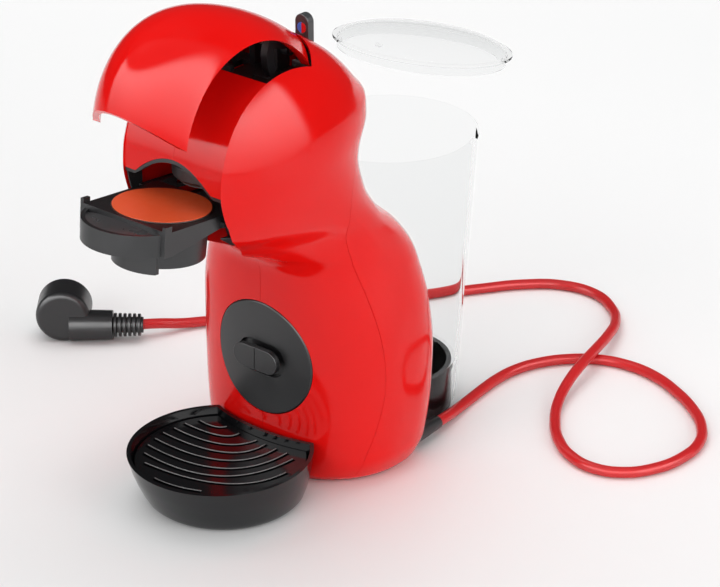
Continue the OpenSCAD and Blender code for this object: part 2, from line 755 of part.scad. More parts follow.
// Drawn-out holder: round front band, dished grip, cross wall with horns, ring and side arms.
band_r = 29.2;
band_y = -19;
band_top = -2.3;
band_low = -14.3;
band_t = 2.4;
grip_drop = 5;
side_half = 30.4;
side_t = 2.2;
side_rear_low = -8;
holder_wall_y = -27.6;
horn_h = 3.4;
ring_top = -1;
ring_t = 2.4;
arm_back = 42;
module front_of_wall(y) {
  intersection() {
    children();
    translate([-side_half, -80, -60]) cube([2 * side_half, 80 + y, 100]);
  }
}

module capsule_holder() {
  color("black") on_holder() {
    front_of_wall(holder_wall_y + 4) difference() {
      translate([0, band_y, band_low]) cylinder(r = band_r, h = band_top - band_low, $fn = round_fn);
      translate([0, band_y, band_low - 1]) cylinder(r = band_r - band_t, h = band_top - band_low + 2, $fn = round_fn);
    }
    front_of_wall(holder_wall_y + 1)
      translate([0, band_y, band_top - grip_drop - 2]) cylinder(r = band_r - 1, h = 2, $fn = round_fn);
    translate([-side_half, holder_wall_y - 2.2, band_low]) cube([2 * side_half, 2.2, -band_low]);
    for (s = [-1, 1]) translate([s * (side_half - side_t / 2) - side_t / 2, holder_wall_y - 2.2, -1])
      cube([side_t, 5, horn_h]);
    for (s = [-1, 1]) translate([s * (side_half - side_t / 2), 0, 0])
      slab_x([[holder_wall_y - 2, ring_top], [arm_back, ring_top], [arm_back, side_rear_low], [12, side_rear_low],
        [holder_wall_y + 4, band_low], [holder_wall_y - 2, band_low]], side_t);
    for (s = [-1, 1]) translate([s * (runner_in + runner_out) / 2 - (runner_out - runner_in) / 2,
      12, runner_z - runner_t / 2]) cube([runner_out - runner_in, arm_back - 12, runner_t]);
    difference() {
      translate([-side_half, holder_wall_y - 1, ring_top - ring_t])
        cube([2 * side_half, 29 - holder_wall_y, ring_t]);
      translate([0, 0, -10]) cylinder(r = cup_r0, h = 20, $fn = round_fn);
    }
  }
}

// Cup under the ring with a deeper skirt at its front, open at the bottom for the pod's outlet.
cup_r0 = 25.2;
cup_r1 = 24.2;
cup_low = -27;
cup_t = 2;
outlet_r = 5;
skirt_low = -30;
skirt_half = 16;
module holder_cup() {
  color("black") on_holder() {
    rotate_extrude($fn = round_fn) polygon([[outlet_r, cup_low], [cup_r1, cup_low], [cup_r0, ring_top - ring_t],
      [cup_r0, ring_top - 0.4], [cup_r0 - cup_t, ring_top - 0.4], [cup_r1 - cup_t, cup_low + cup_t],
      [outlet_r, cup_low + cup_t]]);
    difference() {
      translate([0, 0, skirt_low]) cylinder(r = cup_r0 + 0.8, h = band_low - skirt_low, $fn = round_fn);
      translate([0, 0, skirt_low - 1]) cylinder(r = cup_r1 - 0.2, h = band_low - skirt_low + 2, $fn = round_fn);
      translate([-60, -8, -60]) cube([120, 100, 100]);
      for (s = [-1, 1]) translate([s * (skirt_half + 20) - 20, -60, -60]) cube([40, 100, 100]);
    }
  }
}

module pod_cup() {
  color("ivory") on_holder() rotate_extrude($fn = round_fn)
    polygon([[0, -pod_depth], [17, -pod_depth], [19, -pod_depth + 2], [22.4, ring_top - 1], [22.4, ring_top + 0.1],
      [pod_r, ring_top + 0.1], [pod_r, ring_top + 0.6], [0, ring_top + 0.6]]);
}

module pod_lid() {
  color("orangered") on_holder() rotate_extrude($fn = round_fn)
    polygon([[0, ring_top + 0.6], [pod_r - 0.6, ring_top + 0.6], [pod_r - 0.6, -0.1], [pod_r - 1, 0], [0, 0]]);
}

// Lever in the plane of symmetry, turning about a pin along Y.
lever_pivot_z = 236;
pin_r = 2;
module on_lever() {
  translate([0, lever_y + lever_t / 2, lever_pivot_z]) rotate([90, 0, 0]) children();
}

module selector_lever() {
  reach = lever_top - lever_pivot_z - lever_w / 2;
  color("dimgray") on_lever() difference() {
    union() {
      cylinder(r = 5, h = lever_t, $fn = round_fn);
      translate([-lever_w / 2, 0, 0]) cube([lever_w, reach, lever_t]);
      translate([0, reach, 0]) cylinder(d = lever_w, h = lever_t, $fn = round_fn);
    }
    translate([0, 0, -1]) cylinder(r = pin_r + 0.05, h = 20, $fn = round_fn);
    translate([0, reach - 3, lever_t - mark_t]) cylinder(r = mark_r, h = 5, $fn = round_fn);
  }
}

mark_r = 3;
mark_t = 0.8;
module lever_mark(s) {
  reach = lever_top - lever_pivot_z - lever_w / 2;
  on_lever() intersection() {
    translate([0, reach - 3, lever_t - mark_t]) cylinder(r = mark_r - 0.02, h = mark_t + 0.2, $fn = round_fn);
    translate([s > 0 ? 0.1 : -10.1, 0, 0]) cube([10, 60, 20]);
  }
}

module lever_mark_cold() {
  color("blue") lever_mark(-1);
}

module lever_mark_hot() {
  color("red") lever_mark(1);
}

module lever_pin() {
  color("silver") bar_y(0, lever_pivot_z, pin_r, lever_y - front_ear - ear_t, lever_y + rear_ear + ear_t);
}

front_ear = 3;
rear_ear = 2.9;
ear_t = 2;
module selector_valve() {
  body_z = 206;
  body_h = 18;
  spigot_y = -29.5;
  color("gray") {
    translate([-11, lever_y - 12, body_z]) cube([22, 12 + rear_ear + ear_t, body_h]);
    for (y = [lever_y - front_ear - ear_t, lever_y + rear_ear]) difference() {
      translate([-5, y, body_z + body_h - tiny]) cube([10, ear_t, 16]);
      bar_y(0, lever_pivot_z, pin_r + 0.02, lever_y - 30, lever_y + 30);
    }
    translate([0, lever_y, body_z - 8]) cylinder(r = hose_r, h = 8 + tiny, $fn = round_fn);
    translate([-6, roof_back, body_z + 2]) cube([12, lever_y - 12 - roof_back + tiny, 12]);
    translate([0, spigot_y, body_z + 14 - tiny]) cylinder(r = hose_r, h = 8, $fn = round_fn);
  }
}

// Frame round the power button, flush with the back slope of the head.
frame_low = -9;
frame_high = 2.4;
button_in = 3;
switch_half = 5;
switch_h = 6;
switch_back = 3.3;
switch_top = frame_low - 2 - button_travel - 0.5;
module button_frame() {
  color("red") difference() {
    on_slope() translate([0, 0, frame_low])
      stadium(button_len - 2 * cover_gap, button_w - 2 * cover_gap, frame_high - frame_low);
    on_slope() translate([0, 0, frame_low + 3]) stadium(button_len - 2 * button_in, button_w - 2 * button_in, 30);
    on_slope() translate([0, 0, frame_low - 1]) cylinder(r = 3.2, h = 20, $fn = round_fn);
    translate([-20, lever_y - 40, lever_pivot_z - 30]) cube([40, 40 + rear_ear + ear_t + 0.4, 38]);
  }
  color("red") on_slope() for (s = [-1, 1])
    translate([s * (switch_half + 0.75) - 0.75, switch_back - 4, switch_top - switch_h])
      cube([1.5, 8, frame_low - switch_top + switch_h + 1]);
}

button_z0 = -2.4;
module power_button() {
  color("red") on_slope() {
    translate([0, 0, button_z0])
      stadium(button_len - 2 * button_in - 0.8, button_w - 2 * button_in - 0.8, 3.2);
    translate([0, 0, frame_low - 2]) cylinder(r = 3, h = button_z0 - frame_low + 2 + tiny, $fn = round_fn);
  }
}

module power_switch() {
  color("black") on_slope() translate([-switch_half, switch_back - 4, switch_top - switch_h]) cube([2 * switch_half, 8, switch_h]);
}

// Drip tray: bowl whose front leans outwards, with a hollow back that follows the column.
tray_back_r = 108;
tray_back_y = 50.5;
TRAY_LEVELS = [[0, 40.5, -86], [1, 43, -86.2], [3, 45, -86.5], [8, 47.2, -87.2], [14, 49.2, -88], [21, 51, -89]];
function tray_ring(z, r, y, n) = [for (i = [0:n - 1]) let (a = 360 * i / n) [r * cos(a), y + r * sin(a), z]];
module tray_bowl(inset, low, high) {
  n = 48;
  rings = concat([for (l = TRAY_LEVELS) if (l[0] >= low || inset == 0) tray_ring(max(l[0], low), l[1] - inset, l[2], n)],
    [tray_ring(high, tray_r - inset, tray_y, n)]);
  ring_stack(rings);
}

// Stop on the tray's back that meets the column.
tray_stop_y = -54.3;
module behind_tray(grow) {
  translate([0, tray_back_y, -1]) cylinder(r = tray_back_r + grow, h = 60, $fn = 128);
}

module drip_tray() {
  stop_half = 8;
  color("black") translate([-stop_half, tray_stop_y - 4.2, 8]) cube([2 * stop_half, 4.2, 8]);
  color("black") difference() {
    tray_bowl(0, 0, tray_h);
    difference() {
      tray_bowl(tray_wall, tray_wall, tray_h + 1);
      behind_tray(tray_wall);
    }
    behind_tray(0);
  }
}

grid_t = 2;
grid_z = tray_h - grid_drop;
// Curved slots: left end, lowest point and right end of each, in plan.
SLOTS = [
  [[-12, -132], [3, -131], [18, -126]],
  [[-28, -123], [22, -112], [41, -80]],
  [[-36, -115], [15, -107], [34, -66]],
  [[-41, -107], [10, -100], [27, -63]],
  [[-43, -99], [4, -93], [19, -63]],
  [[-44, -91], [-2, -86], [11, -63]],
  [[-43, -83], [-10, -80], [4, -63]],
  [[-42, -75], [-17, -73], [-9, -63]],
  [[-38, -67], [-26, -67], [-20, -62]]];
function slot_point(s, t) =
  let (c = 2 * s[1] - 0.5 * (s[0] + s[2])) s[0] * (1 - t) * (1 - t) + 2 * c * t * (1 - t) + s[2] * t * t;
function slot_side(s, t, off) =
  let (d = slot_point(s, t + 0.01) - slot_point(s, t - 0.01)) slot_point(s, t) + off * [-d[1], d[0]] / norm(d);
module slot(s) {
  steps = 8;
  linear_extrude(grid_t + 2) polygon(concat(
    [for (i = [0:steps]) slot_side(s, i / steps, slot_w / 2)],
    [for (i = [steps:-1:0]) slot_side(s, i / steps, -slot_w / 2)]));
}

module drip_grid() {
  color("black") difference() {
    translate([0, tray_y, grid_z - grid_t]) cylinder(r = tray_r - 4.4, h = grid_t, $fn = 96);
    behind_tray(tray_wall + 0.4);
    for (s = SLOTS) translate([0, 0, grid_z - grid_t - 1]) slot(s);
  }
}

// Round seat under the tank, with a neck to the body and a socket for the valve.
tank_floor_t = 2.2;
seat_top = tank_floor - tank_floor_t - cover_gap;
seat_floor = 3;
socket_y = tank_y - 14;
socket_r = 8;
valve_r = 4.6;
module tank_seat() {
  color("black") {
    difference() {
      translate([0, tank_y, tank_bottom - 0.4]) cylinder(r = seat_r, h = seat_top - tank_bottom + 0.4, $fn = round_fn);
      translate([0, tank_y, tank_bottom + seat_floor]) cylinder(r = seat_r - 3, h = 30, $fn = round_fn);
      translate([-neck_half + 2, -10, tank_bottom + seat_floor]) cube([2 * neck_half - 4, 40, 12]);
    }
    difference() {
      translate([0, socket_y, tank_bottom]) cylinder(r = socket_r + 2, h = 18.4, $fn = round_fn);
      translate([0, socket_y, tank_bottom + 16]) cylinder(r = socket_r, h = 30, $fn = round_fn);
      translate([0, socket_y, 0]) cylinder(r = 2.6, h = 60, $fn = round_fn);
      bar_y(0, 13, 3.2, 0, socket_y);
    }
    difference() {
      translate([-neck_half, 10, tank_bottom - 0.4]) cube([2 * neck_half, 14, neck_top - tank_bottom + 0.4]);
      translate([-neck_half + 2, 0, tank_bottom + seat_floor]) cube([2 * neck_half - 4, 40, 12]);
    }
  }
}

module seat_seal() {
  color("dimgray") translate([0, socket_y, tank_bottom + 16]) difference() {
    cylinder(r = socket_r, h = 2.4, $fn = round_fn);
    translate([0, 0, -1]) cylinder(r = valve_r + cover_gap, h = 6, $fn = round_fn);
  }
}

function tank_r(z) = tank_r0 + tank_taper * z;
notch_half = neck_half + 1.2;
module water_tank() {
  lip_r = 1;
  lip_low = tank_top - 3;
  color("white", 0.35) difference() {
    rotate_extrude_at(tank_y, [
      [tank_r(tank_bottom), tank_bottom], [tank_r(lip_low), lip_low], [tank_r(lip_low) + lip_r, lip_low + 1],
      [tank_r(tank_top) + lip_r - 0.4, tank_top], [tank_r(tank_top) - tank_wall, tank_top],
      [tank_r(tank_floor) - tank_wall, tank_floor], [0, tank_floor], [0, tank_floor - tank_floor_t],
      [tank_r(tank_floor) - tank_wall, tank_floor - tank_floor_t], [tank_r(tank_bottom) - tank_wall, tank_bottom]]);
    translate([-notch_half, 0, 0]) cube([2 * notch_half, 30, tank_floor - tank_floor_t - 1.6]);
    translate([0, socket_y, 0]) cylinder(r = 5, h = 60, $fn = round_fn);
  }
}

module rotate_extrude_at(y, outline) {
  translate([0, y, 0]) rotate_extrude($fn = 96) polygon(outline);
}

module tank_valve() {
  color("gray") rotate_extrude_at(socket_y, [
    [0, tank_floor - 11.6], [valve_r, tank_floor - 11.6], [valve_r, tank_floor - tank_floor_t],
    [5, tank_floor - tank_floor_t], [5, tank_floor],
    [7.5, tank_floor], [7.5, tank_floor + 2], [3, tank_floor + 3], [3, tank_floor + 6], [0, tank_floor + 7]]);
}

// Domed lid with a skirt that goes inside the rim, lifted off and tilted.
module tank_lid() {
  skirt_r = tank_r(tank_top) - tank_wall - 0.5;
  skirt_h = 5;
  flange_t = 1.8;
  dome_h = 8;
  steps = 8;
  function dome(t, drop) = [(skirt_r - 1) * sin(90 * t), flange_t + dome_h * cos(90 * t) - drop];
  color("white", 0.35) translate([0, lid_y, lid_z]) rotate([-lid_tilt, 0, 0]) {
    rotate_extrude($fn = 96) polygon(concat(
      [for (i = [0:steps]) dome(i / steps, 0)],
      [[lid_r, flange_t], [lid_r, 0], [skirt_r, 0], [skirt_r, -skirt_h], [skirt_r - 1.4, -skirt_h]],
      [for (i = [steps - 1:-1:0]) dome(i / steps, 1.6)]));
    translate([0, -(skirt_r - 8), flange_t + 2]) cylinder(r = 2, h = 2.2, $fn = 32);
  }
}

// Round tube along a smooth path through route points.
function unit(v) = v / norm(v);
function along(p, i, t) =
  let (n = len(p) - 1, a = p[max(i - 1, 0)], b = p[i], c = p[min(i + 1, n)], d = p[min(i + 2, n)])
  0.5 * (2 * b + (c - a) * t + (2 * a - 5 * b + 4 * c - d) * t * t + (3 * b - a - 3 * c + d) * t * t * t);
function smooth(p, k) = concat([for (i = [0:len(p) - 2], j = [0:k - 1]) along(p, i, j / k)], [p[len(p) - 1]]);
function tube_ring(path, i, r, sides, ref) =
  let (n = len(path) - 1, t = unit(path[min(i + 1, n)] - path[max(i - 1, 0)]),
       u = unit(cross(ref, t)), v = cross(t, u))
  [for (j = [0:sides - 1]) let (a = 360 * (j + 0.5) / sides) path[i] + r * (u * cos(a) + v * sin(a))];
module tube(route, r, k, sides, ref) {
  path = smooth(route, k);
  ring_stack([for (i = [0:len(path) - 1]) tube_ring(path, i, r, sides, ref)]);
}

hose_r = 3;
module hose(route, ref) {
  tube(route, hose_r, 3, 8, ref);
}

module inlet_hose() {
  color("lightgray") hose([[0, socket_y - 11, 13], [0, 20, 13], [-6, 8, 12], [-18, -8, 10], [pump_x, pump_y, 10],
    [pump_x, pump_y, 14]], [0.3, 0.2, 1]);
}

module pump_hose() {
  color("lightgray") hose([[pump_x, pump_y, pump_z + pump_len + 16], [pump_x + 1, pump_y - 1, 121],
    [-18, -27, 126], [-8, -30, 123], [0, -30, 120], [7, -32, 114], [9, -37, 100], [9, -38, 82], [11, -36, 64],
    [19, -26, 52], [25, -19, 51], [26, block_y, 56], [26, block_y, block_z - block_r - 8]], [0.3, 1, 0.2]);
}

module valve_hose() {
  color("lightgray") hose([[block_x + 10, block_y - 10, block_z + block_r + 8], [block_x + 10, -28, 140],
    [22, -26, 160], [9, -19, 180], [0, lever_y, 191], [0, lever_y, 198]], [1, 0.2, 0]);
}

module brew_hose() {
  color("lightgray") hose([[0, -29.5, 228], [0, -29.5, 232], [0, -32.5, 236], [0, -38, inlet_z],
    [0, -56, inlet_z], [0, head_y + sleeve_half, inlet_z]], [1, 0, 0]);
}

// Tapered sleeve where the cord leaves the body.
module cord_relief() {
  color("red") difference() {
    union() {
      translate([relief_x, relief_y, cord_exit_z]) rotate([-90, 0, 0])
        cylinder(r1 = relief_r0, r2 = relief_r1, h = relief_len, $fn = round_fn);
      translate([relief_x, relief_y - 8, cord_exit_z]) rotate([-90, 0, 0])
        cylinder(r = relief_r0, h = 8 + tiny, $fn = round_fn);
      translate([relief_x, relief_y - 11, cord_exit_z]) rotate([-90, 0, 0])
        cylinder(r = relief_r0 - 1, h = 4, $fn = round_fn);
    }
    bar_y(relief_x, cord_exit_z, cord_d / 2, relief_y + relief_len - 12, 80);
  }
}

module cord_clamp() {
  color("black") translate([relief_x - 8, relief_y - 12, base_top]) difference() {
    cube([10.5, 4, 12]);
    translate([8, 5, cord_exit_z - base_top]) rotate([90, 0, 0])
      cylinder(r = relief_r0 - 0.9, h = 6, $fn = round_fn);
  }
}

cord_r = cord_d / 2;
lie = cord_r + 0.05;
cord_start = relief_y + relief_len - 12;
ROUTE = [[relief_x, cord_start, cord_exit_z], [49.3, 50, 7.2], [47.2, 60, 5.6], [44.6, 72, 4.2],
  [42.2, 86, lie], [40.3, 102, lie], [39.3, 118, lie], [40.8, 134, lie], [46, 149, lie], [57, 165, lie], [73, 177, lie], [92, 182, lie], [112, 180, lie],
  [132, 172, lie], [152, 160, lie], [168, 145, lie], [178, 127, lie], [180, 106, lie], [175, 86, lie],
  [164, 71, lie], [148, 64, lie], [130, 67, lie], [112, 79, lie], [98, 95, lie], [87, 113, 4.5],
  [80, 133, 8], [75, 155, 10.4], [70, 177, 10.4], [63, 200, 8.5], [53, 222, 5.5], [38, 240, lie],
  [17, 251, lie], [-7, 248, lie], [-27, 233, lie], [-44, 211, lie], [-64, 182, lie], [-88, 147, lie],
  [-112, 111, lie], [-134, 83, lie], [-150, 61, 3.6], [-158, 47, 5], [-164, 34, 8]];

// Angled plug lying on its side; the cord comes in square to the pins, low and near the cap's face.
plug_turn = 40;
plug_at = [-210, -4.5, plug_d / 2 + 0.05];
plug_neck_y = -6;
plug_neck_z = -7;
plug_neck_r = 9.3;
plug_neck_end = 31;
relief_rings = 6;
relief_pitch = 3;
relief_end = plug_neck_end + relief_rings * relief_pitch + 1;
bore_depth = 6;
entry_x = relief_end - bore_depth;
plug_entry = [plug_at[0] + entry_x * cos(plug_turn) - plug_neck_y * sin(plug_turn),
  plug_at[1] + entry_x * sin(plug_turn) + plug_neck_y * cos(plug_turn), plug_at[2] + plug_neck_z];
module cord() {
  color("red") tube(concat(ROUTE, [plug_entry]), cord_r, 2, 8, [0, 0, 1]);
}

module on_plug() {
  translate(plug_at) rotate([0, 0, plug_turn]) children();
}

module along_neck(x) {
  on_plug() translate([x, plug_neck_y, plug_neck_z]) rotate([0, 90, 0]) children();
}

module plug_body() {
  round_in = 4;
  color("black") {
    on_plug() rotate([90, 0, 0]) translate([0, 0, -plug_len / 2]) rotate_extrude($fn = round_fn)
      polygon(concat([[0, 0], [plug_d / 2, 0]],
        [for (i = [0:6]) [plug_d / 2 - round_in + round_in * cos(15 * i), plug_len - round_in + round_in * sin(15 * i)]],
        [[0, plug_len]]));
    along_neck(4) cylinder(r1 = 9.9, r2 = plug_neck_r, h = plug_neck_end - 4, $fn = round_fn);
  }
}

module plug_relief() {
  color("black") along_neck(plug_neck_end) difference() {
    union() {
      cylinder(r = 5, h = relief_end - plug_neck_end, $fn = round_fn);
      for (i = [0:relief_rings - 1]) translate([0, 0, 0.6 + i * relief_pitch])
        cylinder(r = 7.5 - 0.1 * i, h = 1.8, $fn = round_fn);
    }
    translate([0, 0, relief_end - plug_neck_end - bore_depth]) cylinder(r = cord_r, h = 20, $fn = round_fn);
  }
}

pin_half_pitch = 9.5;
pin_d = 4.8;
pin_len = 19;
module plug_pins() {
  color("silver") on_plug() for (s = [-1, 1])
    translate([s * pin_half_pitch, plug_len / 2, 0]) rotate([-90, 0, 0]) cylinder(d = pin_d, h = pin_len, $fn = round_fn);
}

module plug_earth() {
  color("silver") on_plug() for (s = [-1, 1])
    translate([-3, plug_len / 2, s * (plug_d / 2 - 3) - 1]) cube([6, 1.6, 2]);
}

left_shell();
right_shell();
back_cover();
base_plate();
rubber_feet();
base_screws();
front_disc();
tray_hook();
chassis();
head_frame();
mouth_frame();
holder_guide();
hood();
hood_frame();
hood_pin();
brew_head();
brew_needle();
brew_seal();
capsule_holder();
holder_cup();
pod_cup();
pod_lid();
selector_lever();
lever_mark_cold();
lever_mark_hot();
lever_pin();
selector_valve();
button_frame();
power_button();
power_switch();
drip_tray();
drip_grid();
tank_seat();
seat_seal();
water_tank();
tank_valve();
tank_lid();
pump();
pump_mounts();
thermoblock();
thermoblock_clamp();
control_board();
inlet_hose();
pump_hose();
valve_hose();
brew_hose();
cord_relief();
cord_clamp();
cord();
plug_body();
plug_relief();
plug_pins();
plug_earth();
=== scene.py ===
import json
import math

import bmesh
import bpy
from mathutils import Matrix, Vector


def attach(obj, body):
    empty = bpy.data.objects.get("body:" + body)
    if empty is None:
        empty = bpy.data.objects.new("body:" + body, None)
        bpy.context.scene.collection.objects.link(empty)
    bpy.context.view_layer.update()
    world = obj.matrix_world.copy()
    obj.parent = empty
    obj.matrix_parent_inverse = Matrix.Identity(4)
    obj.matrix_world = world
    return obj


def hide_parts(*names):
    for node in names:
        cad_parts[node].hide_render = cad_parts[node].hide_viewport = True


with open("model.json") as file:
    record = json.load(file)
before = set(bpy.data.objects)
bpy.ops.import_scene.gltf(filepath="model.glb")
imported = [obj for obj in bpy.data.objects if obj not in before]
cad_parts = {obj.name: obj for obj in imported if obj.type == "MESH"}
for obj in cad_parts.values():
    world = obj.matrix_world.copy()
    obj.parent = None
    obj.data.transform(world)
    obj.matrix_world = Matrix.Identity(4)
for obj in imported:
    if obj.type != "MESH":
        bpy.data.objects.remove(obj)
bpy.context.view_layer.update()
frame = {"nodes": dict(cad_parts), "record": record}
NODES = frame["nodes"]
BODY_OF = {node: body for body, members in frame["record"]["behaviour"]["bodies"].items() for node in members}
SLOT_OF = {part["node"]: part["material_slot"] for part in frame["record"]["subparts"]}
MM = 0.001

# ---------------------------------------------------------------- camera

AZIMUTH = math.radians(39.56)
ELEVATION = math.radians(26.014)
LENS_MM = 137.375
CAMERA_AT = (0.9167, -1.0768, 0.7827)


def place_camera():
    """Long lens, level with the horizon, looking down on the machine from its right front."""
    right = Vector((math.cos(AZIMUTH), math.sin(AZIMUTH), 0))
    back = Vector((math.sin(AZIMUTH) * math.cos(ELEVATION), -math.cos(AZIMUTH) * math.cos(ELEVATION),
                   math.sin(ELEVATION)))
    up = back.cross(right)
    lens = bpy.data.cameras.new("studio_camera")
    lens.lens = LENS_MM
    lens.sensor_width = 36
    lens.sensor_fit = "HORIZONTAL"
    lens.clip_start = 0.05
    camera = bpy.data.objects.new("studio_camera", lens)
    bpy.context.scene.collection.objects.link(camera)
    turn = Matrix((right, up, back)).transposed().to_4x4()
    camera.matrix_world = Matrix.Translation(CAMERA_AT) @ turn
    bpy.context.scene.camera = camera


place_camera()

# ---------------------------------------------------------------- finishes


def shader(name):
    """New material with its node tree, its Principled shader and the piece's own coordinates."""
    finish = bpy.data.materials.new(name)
    finish.use_nodes = True
    tree = finish.node_tree
    surface = tree.nodes["Principled BSDF"]
    spot = tree.nodes.new("ShaderNodeTexCoord")
    return finish, tree, surface, spot.outputs["Object"]


def noise(tree, spot, size_mm, detail=2.0):
    """Noise whose features are about size_mm across."""
    grain = tree.nodes.new("ShaderNodeTexNoise")
    grain.inputs["Scale"].default_value = 1000.0 / size_mm
    grain.inputs["Detail"].default_value = detail
    tree.links.new(spot, grain.inputs["Vector"])
    return grain.outputs["Fac"]


def spread(tree, value, low, high, start=0.3, end=0.7):
    """Maps a pattern's middle range to low..high."""
    ranged = tree.nodes.new("ShaderNodeMapRange")
    ranged.inputs["From Min"].default_value = start
    ranged.inputs["From Max"].default_value = end
    ranged.inputs["To Min"].default_value = low
    ranged.inputs["To Max"].default_value = high
    tree.links.new(value, ranged.inputs["Value"])
    return ranged.outputs["Result"]


def combined(tree, operation, a, b):
    """Two values added or multiplied, kept within 0..1."""
    both = tree.nodes.new("ShaderNodeMath")
    both.operation, both.use_clamp = operation, True
    tree.links.new(a, both.inputs[0])
    tree.links.new(b, both.inputs[1])
    return both.outputs["Value"]


def tint(tree, value, first, second):
    """Colour between two tones."""
    ramp = tree.nodes.new("ShaderNodeValToRGB")
    ramp.color_ramp.elements[0].position = 0.3
    ramp.color_ramp.elements[1].position = 0.7
    ramp.color_ramp.elements[0].color = (*first, 1)
    ramp.color_ramp.elements[1].color = (*second, 1)
    tree.links.new(value, ramp.inputs["Fac"])
    return ramp.outputs["Color"]


def relief(tree, surface, value, depth_mm):
    """Height pattern into the shader's normal."""
    bump = tree.nodes.new("ShaderNodeBump")
    bump.inputs["Strength"].default_value = 1.0
    bump.inputs["Distance"].default_value = depth_mm * MM
    tree.links.new(value, bump.inputs["Height"])
    tree.links.new(bump.outputs["Normal"], surface.inputs["Normal"])


def moulded(name, colour, tone, rough, grain_mm, depth_mm, specular=0.5):
    """Moulded plastic or rubber: slow tone change, uneven gloss and a fine moulded grain."""
    tone_mm, gloss_mm = 60, 14
    finish, tree, surface, spot = shader(name)
    deep = tuple(c * tone for c in colour)
    tree.links.new(tint(tree, noise(tree, spot, tone_mm), deep, colour), surface.inputs["Base Color"])
    tree.links.new(spread(tree, noise(tree, spot, gloss_mm), *rough), surface.inputs["Roughness"])
    relief(tree, surface, noise(tree, spot, grain_mm, 4), depth_mm)
    surface.inputs["Specular IOR Level"].default_value = specular
    return finish


def metal(name, colour, rough):
    """Bare metal with fine drawn scratches."""
    scratch_mm = 0.4
    finish, tree, surface, spot = shader(name)
    stretch = tree.nodes.new("ShaderNodeMapping")
    stretch.inputs["Scale"].default_value = (1, 1, 0.1)
    tree.links.new(spot, stretch.inputs["Vector"])
    tree.links.new(tint(tree, noise(tree, spot, 20), tuple(c * 0.9 for c in colour), colour),
                   surface.inputs["Base Color"])
    tree.links.new(spread(tree, noise(tree, stretch.outputs["Vector"], scratch_mm), *rough),
                   surface.inputs["Roughness"])
    relief(tree, surface, noise(tree, stretch.outputs["Vector"], scratch_mm), 0.01)
    surface.inputs["Metallic"].default_value = 1.0
    return finish


def clear_plastic(name, colour, rough, ior):
    """Clear moulded plastic with faint flow lines."""
    finish, tree, surface, spot = shader(name)
    surface.inputs["Base Color"].default_value = (*colour, 1)
    surface.inputs["Transmission Weight"].default_value = 1.0
    surface.inputs["IOR"].default_value = ior
    surface.inputs["Specular IOR Level"].default_value = 0.25
    tree.links.new(spread(tree, noise(tree, spot, 25), *rough), surface.inputs["Roughness"])
    relief(tree, surface, noise(tree, spot, 18), 0.03)
    return finish


def printed_foil(name):
    """Pod lid: orange foil, redder towards one side, with a fine pressed grain."""
    finish, tree, surface, spot = shader(name)
    lie = tree.nodes.new("ShaderNodeMapping")
    lie.inputs["Location"].default_value = (0, 3.6, 0)
    lie.inputs["Scale"].default_value = (8, 24, 0)
    tree.links.new(spot, lie.inputs["Vector"])
    sweep = tree.nodes.new("ShaderNodeTexGradient")
    tree.links.new(lie.outputs["Vector"], sweep.inputs["Vector"])
    tree.links.new(tint(tree, sweep.outputs["Fac"], (0.84, 0.12, 0.035), (0.70, 0.05, 0.018)),
                   surface.inputs["Base Color"])
    tree.links.new(spread(tree, noise(tree, spot, 6), 0.34, 0.45), surface.inputs["Roughness"])
    relief(tree, surface, noise(tree, spot, 1.2, 3), 0.02)
    return finish


def circuit_board(name):
    """Green board with pale tracks."""
    finish, tree, surface, spot = shader(name)
    tracks = tree.nodes.new("ShaderNodeTexBrick")
    tracks.inputs["Scale"].default_value = 90
    tracks.inputs["Color1"].default_value = (0.02, 0.16, 0.05, 1)
    tracks.inputs["Color2"].default_value = (0.025, 0.20, 0.06, 1)
    tracks.inputs["Mortar"].default_value = (0.15, 0.30, 0.12, 1)
    tracks.inputs["Mortar Size"].default_value = 0.04
    tree.links.new(spot, tracks.inputs["Vector"])
    tree.links.new(tracks.outputs["Color"], surface.inputs["Base Color"])
    tree.links.new(spread(tree, noise(tree, spot, 5), 0.3, 0.5), surface.inputs["Roughness"])
    return finish


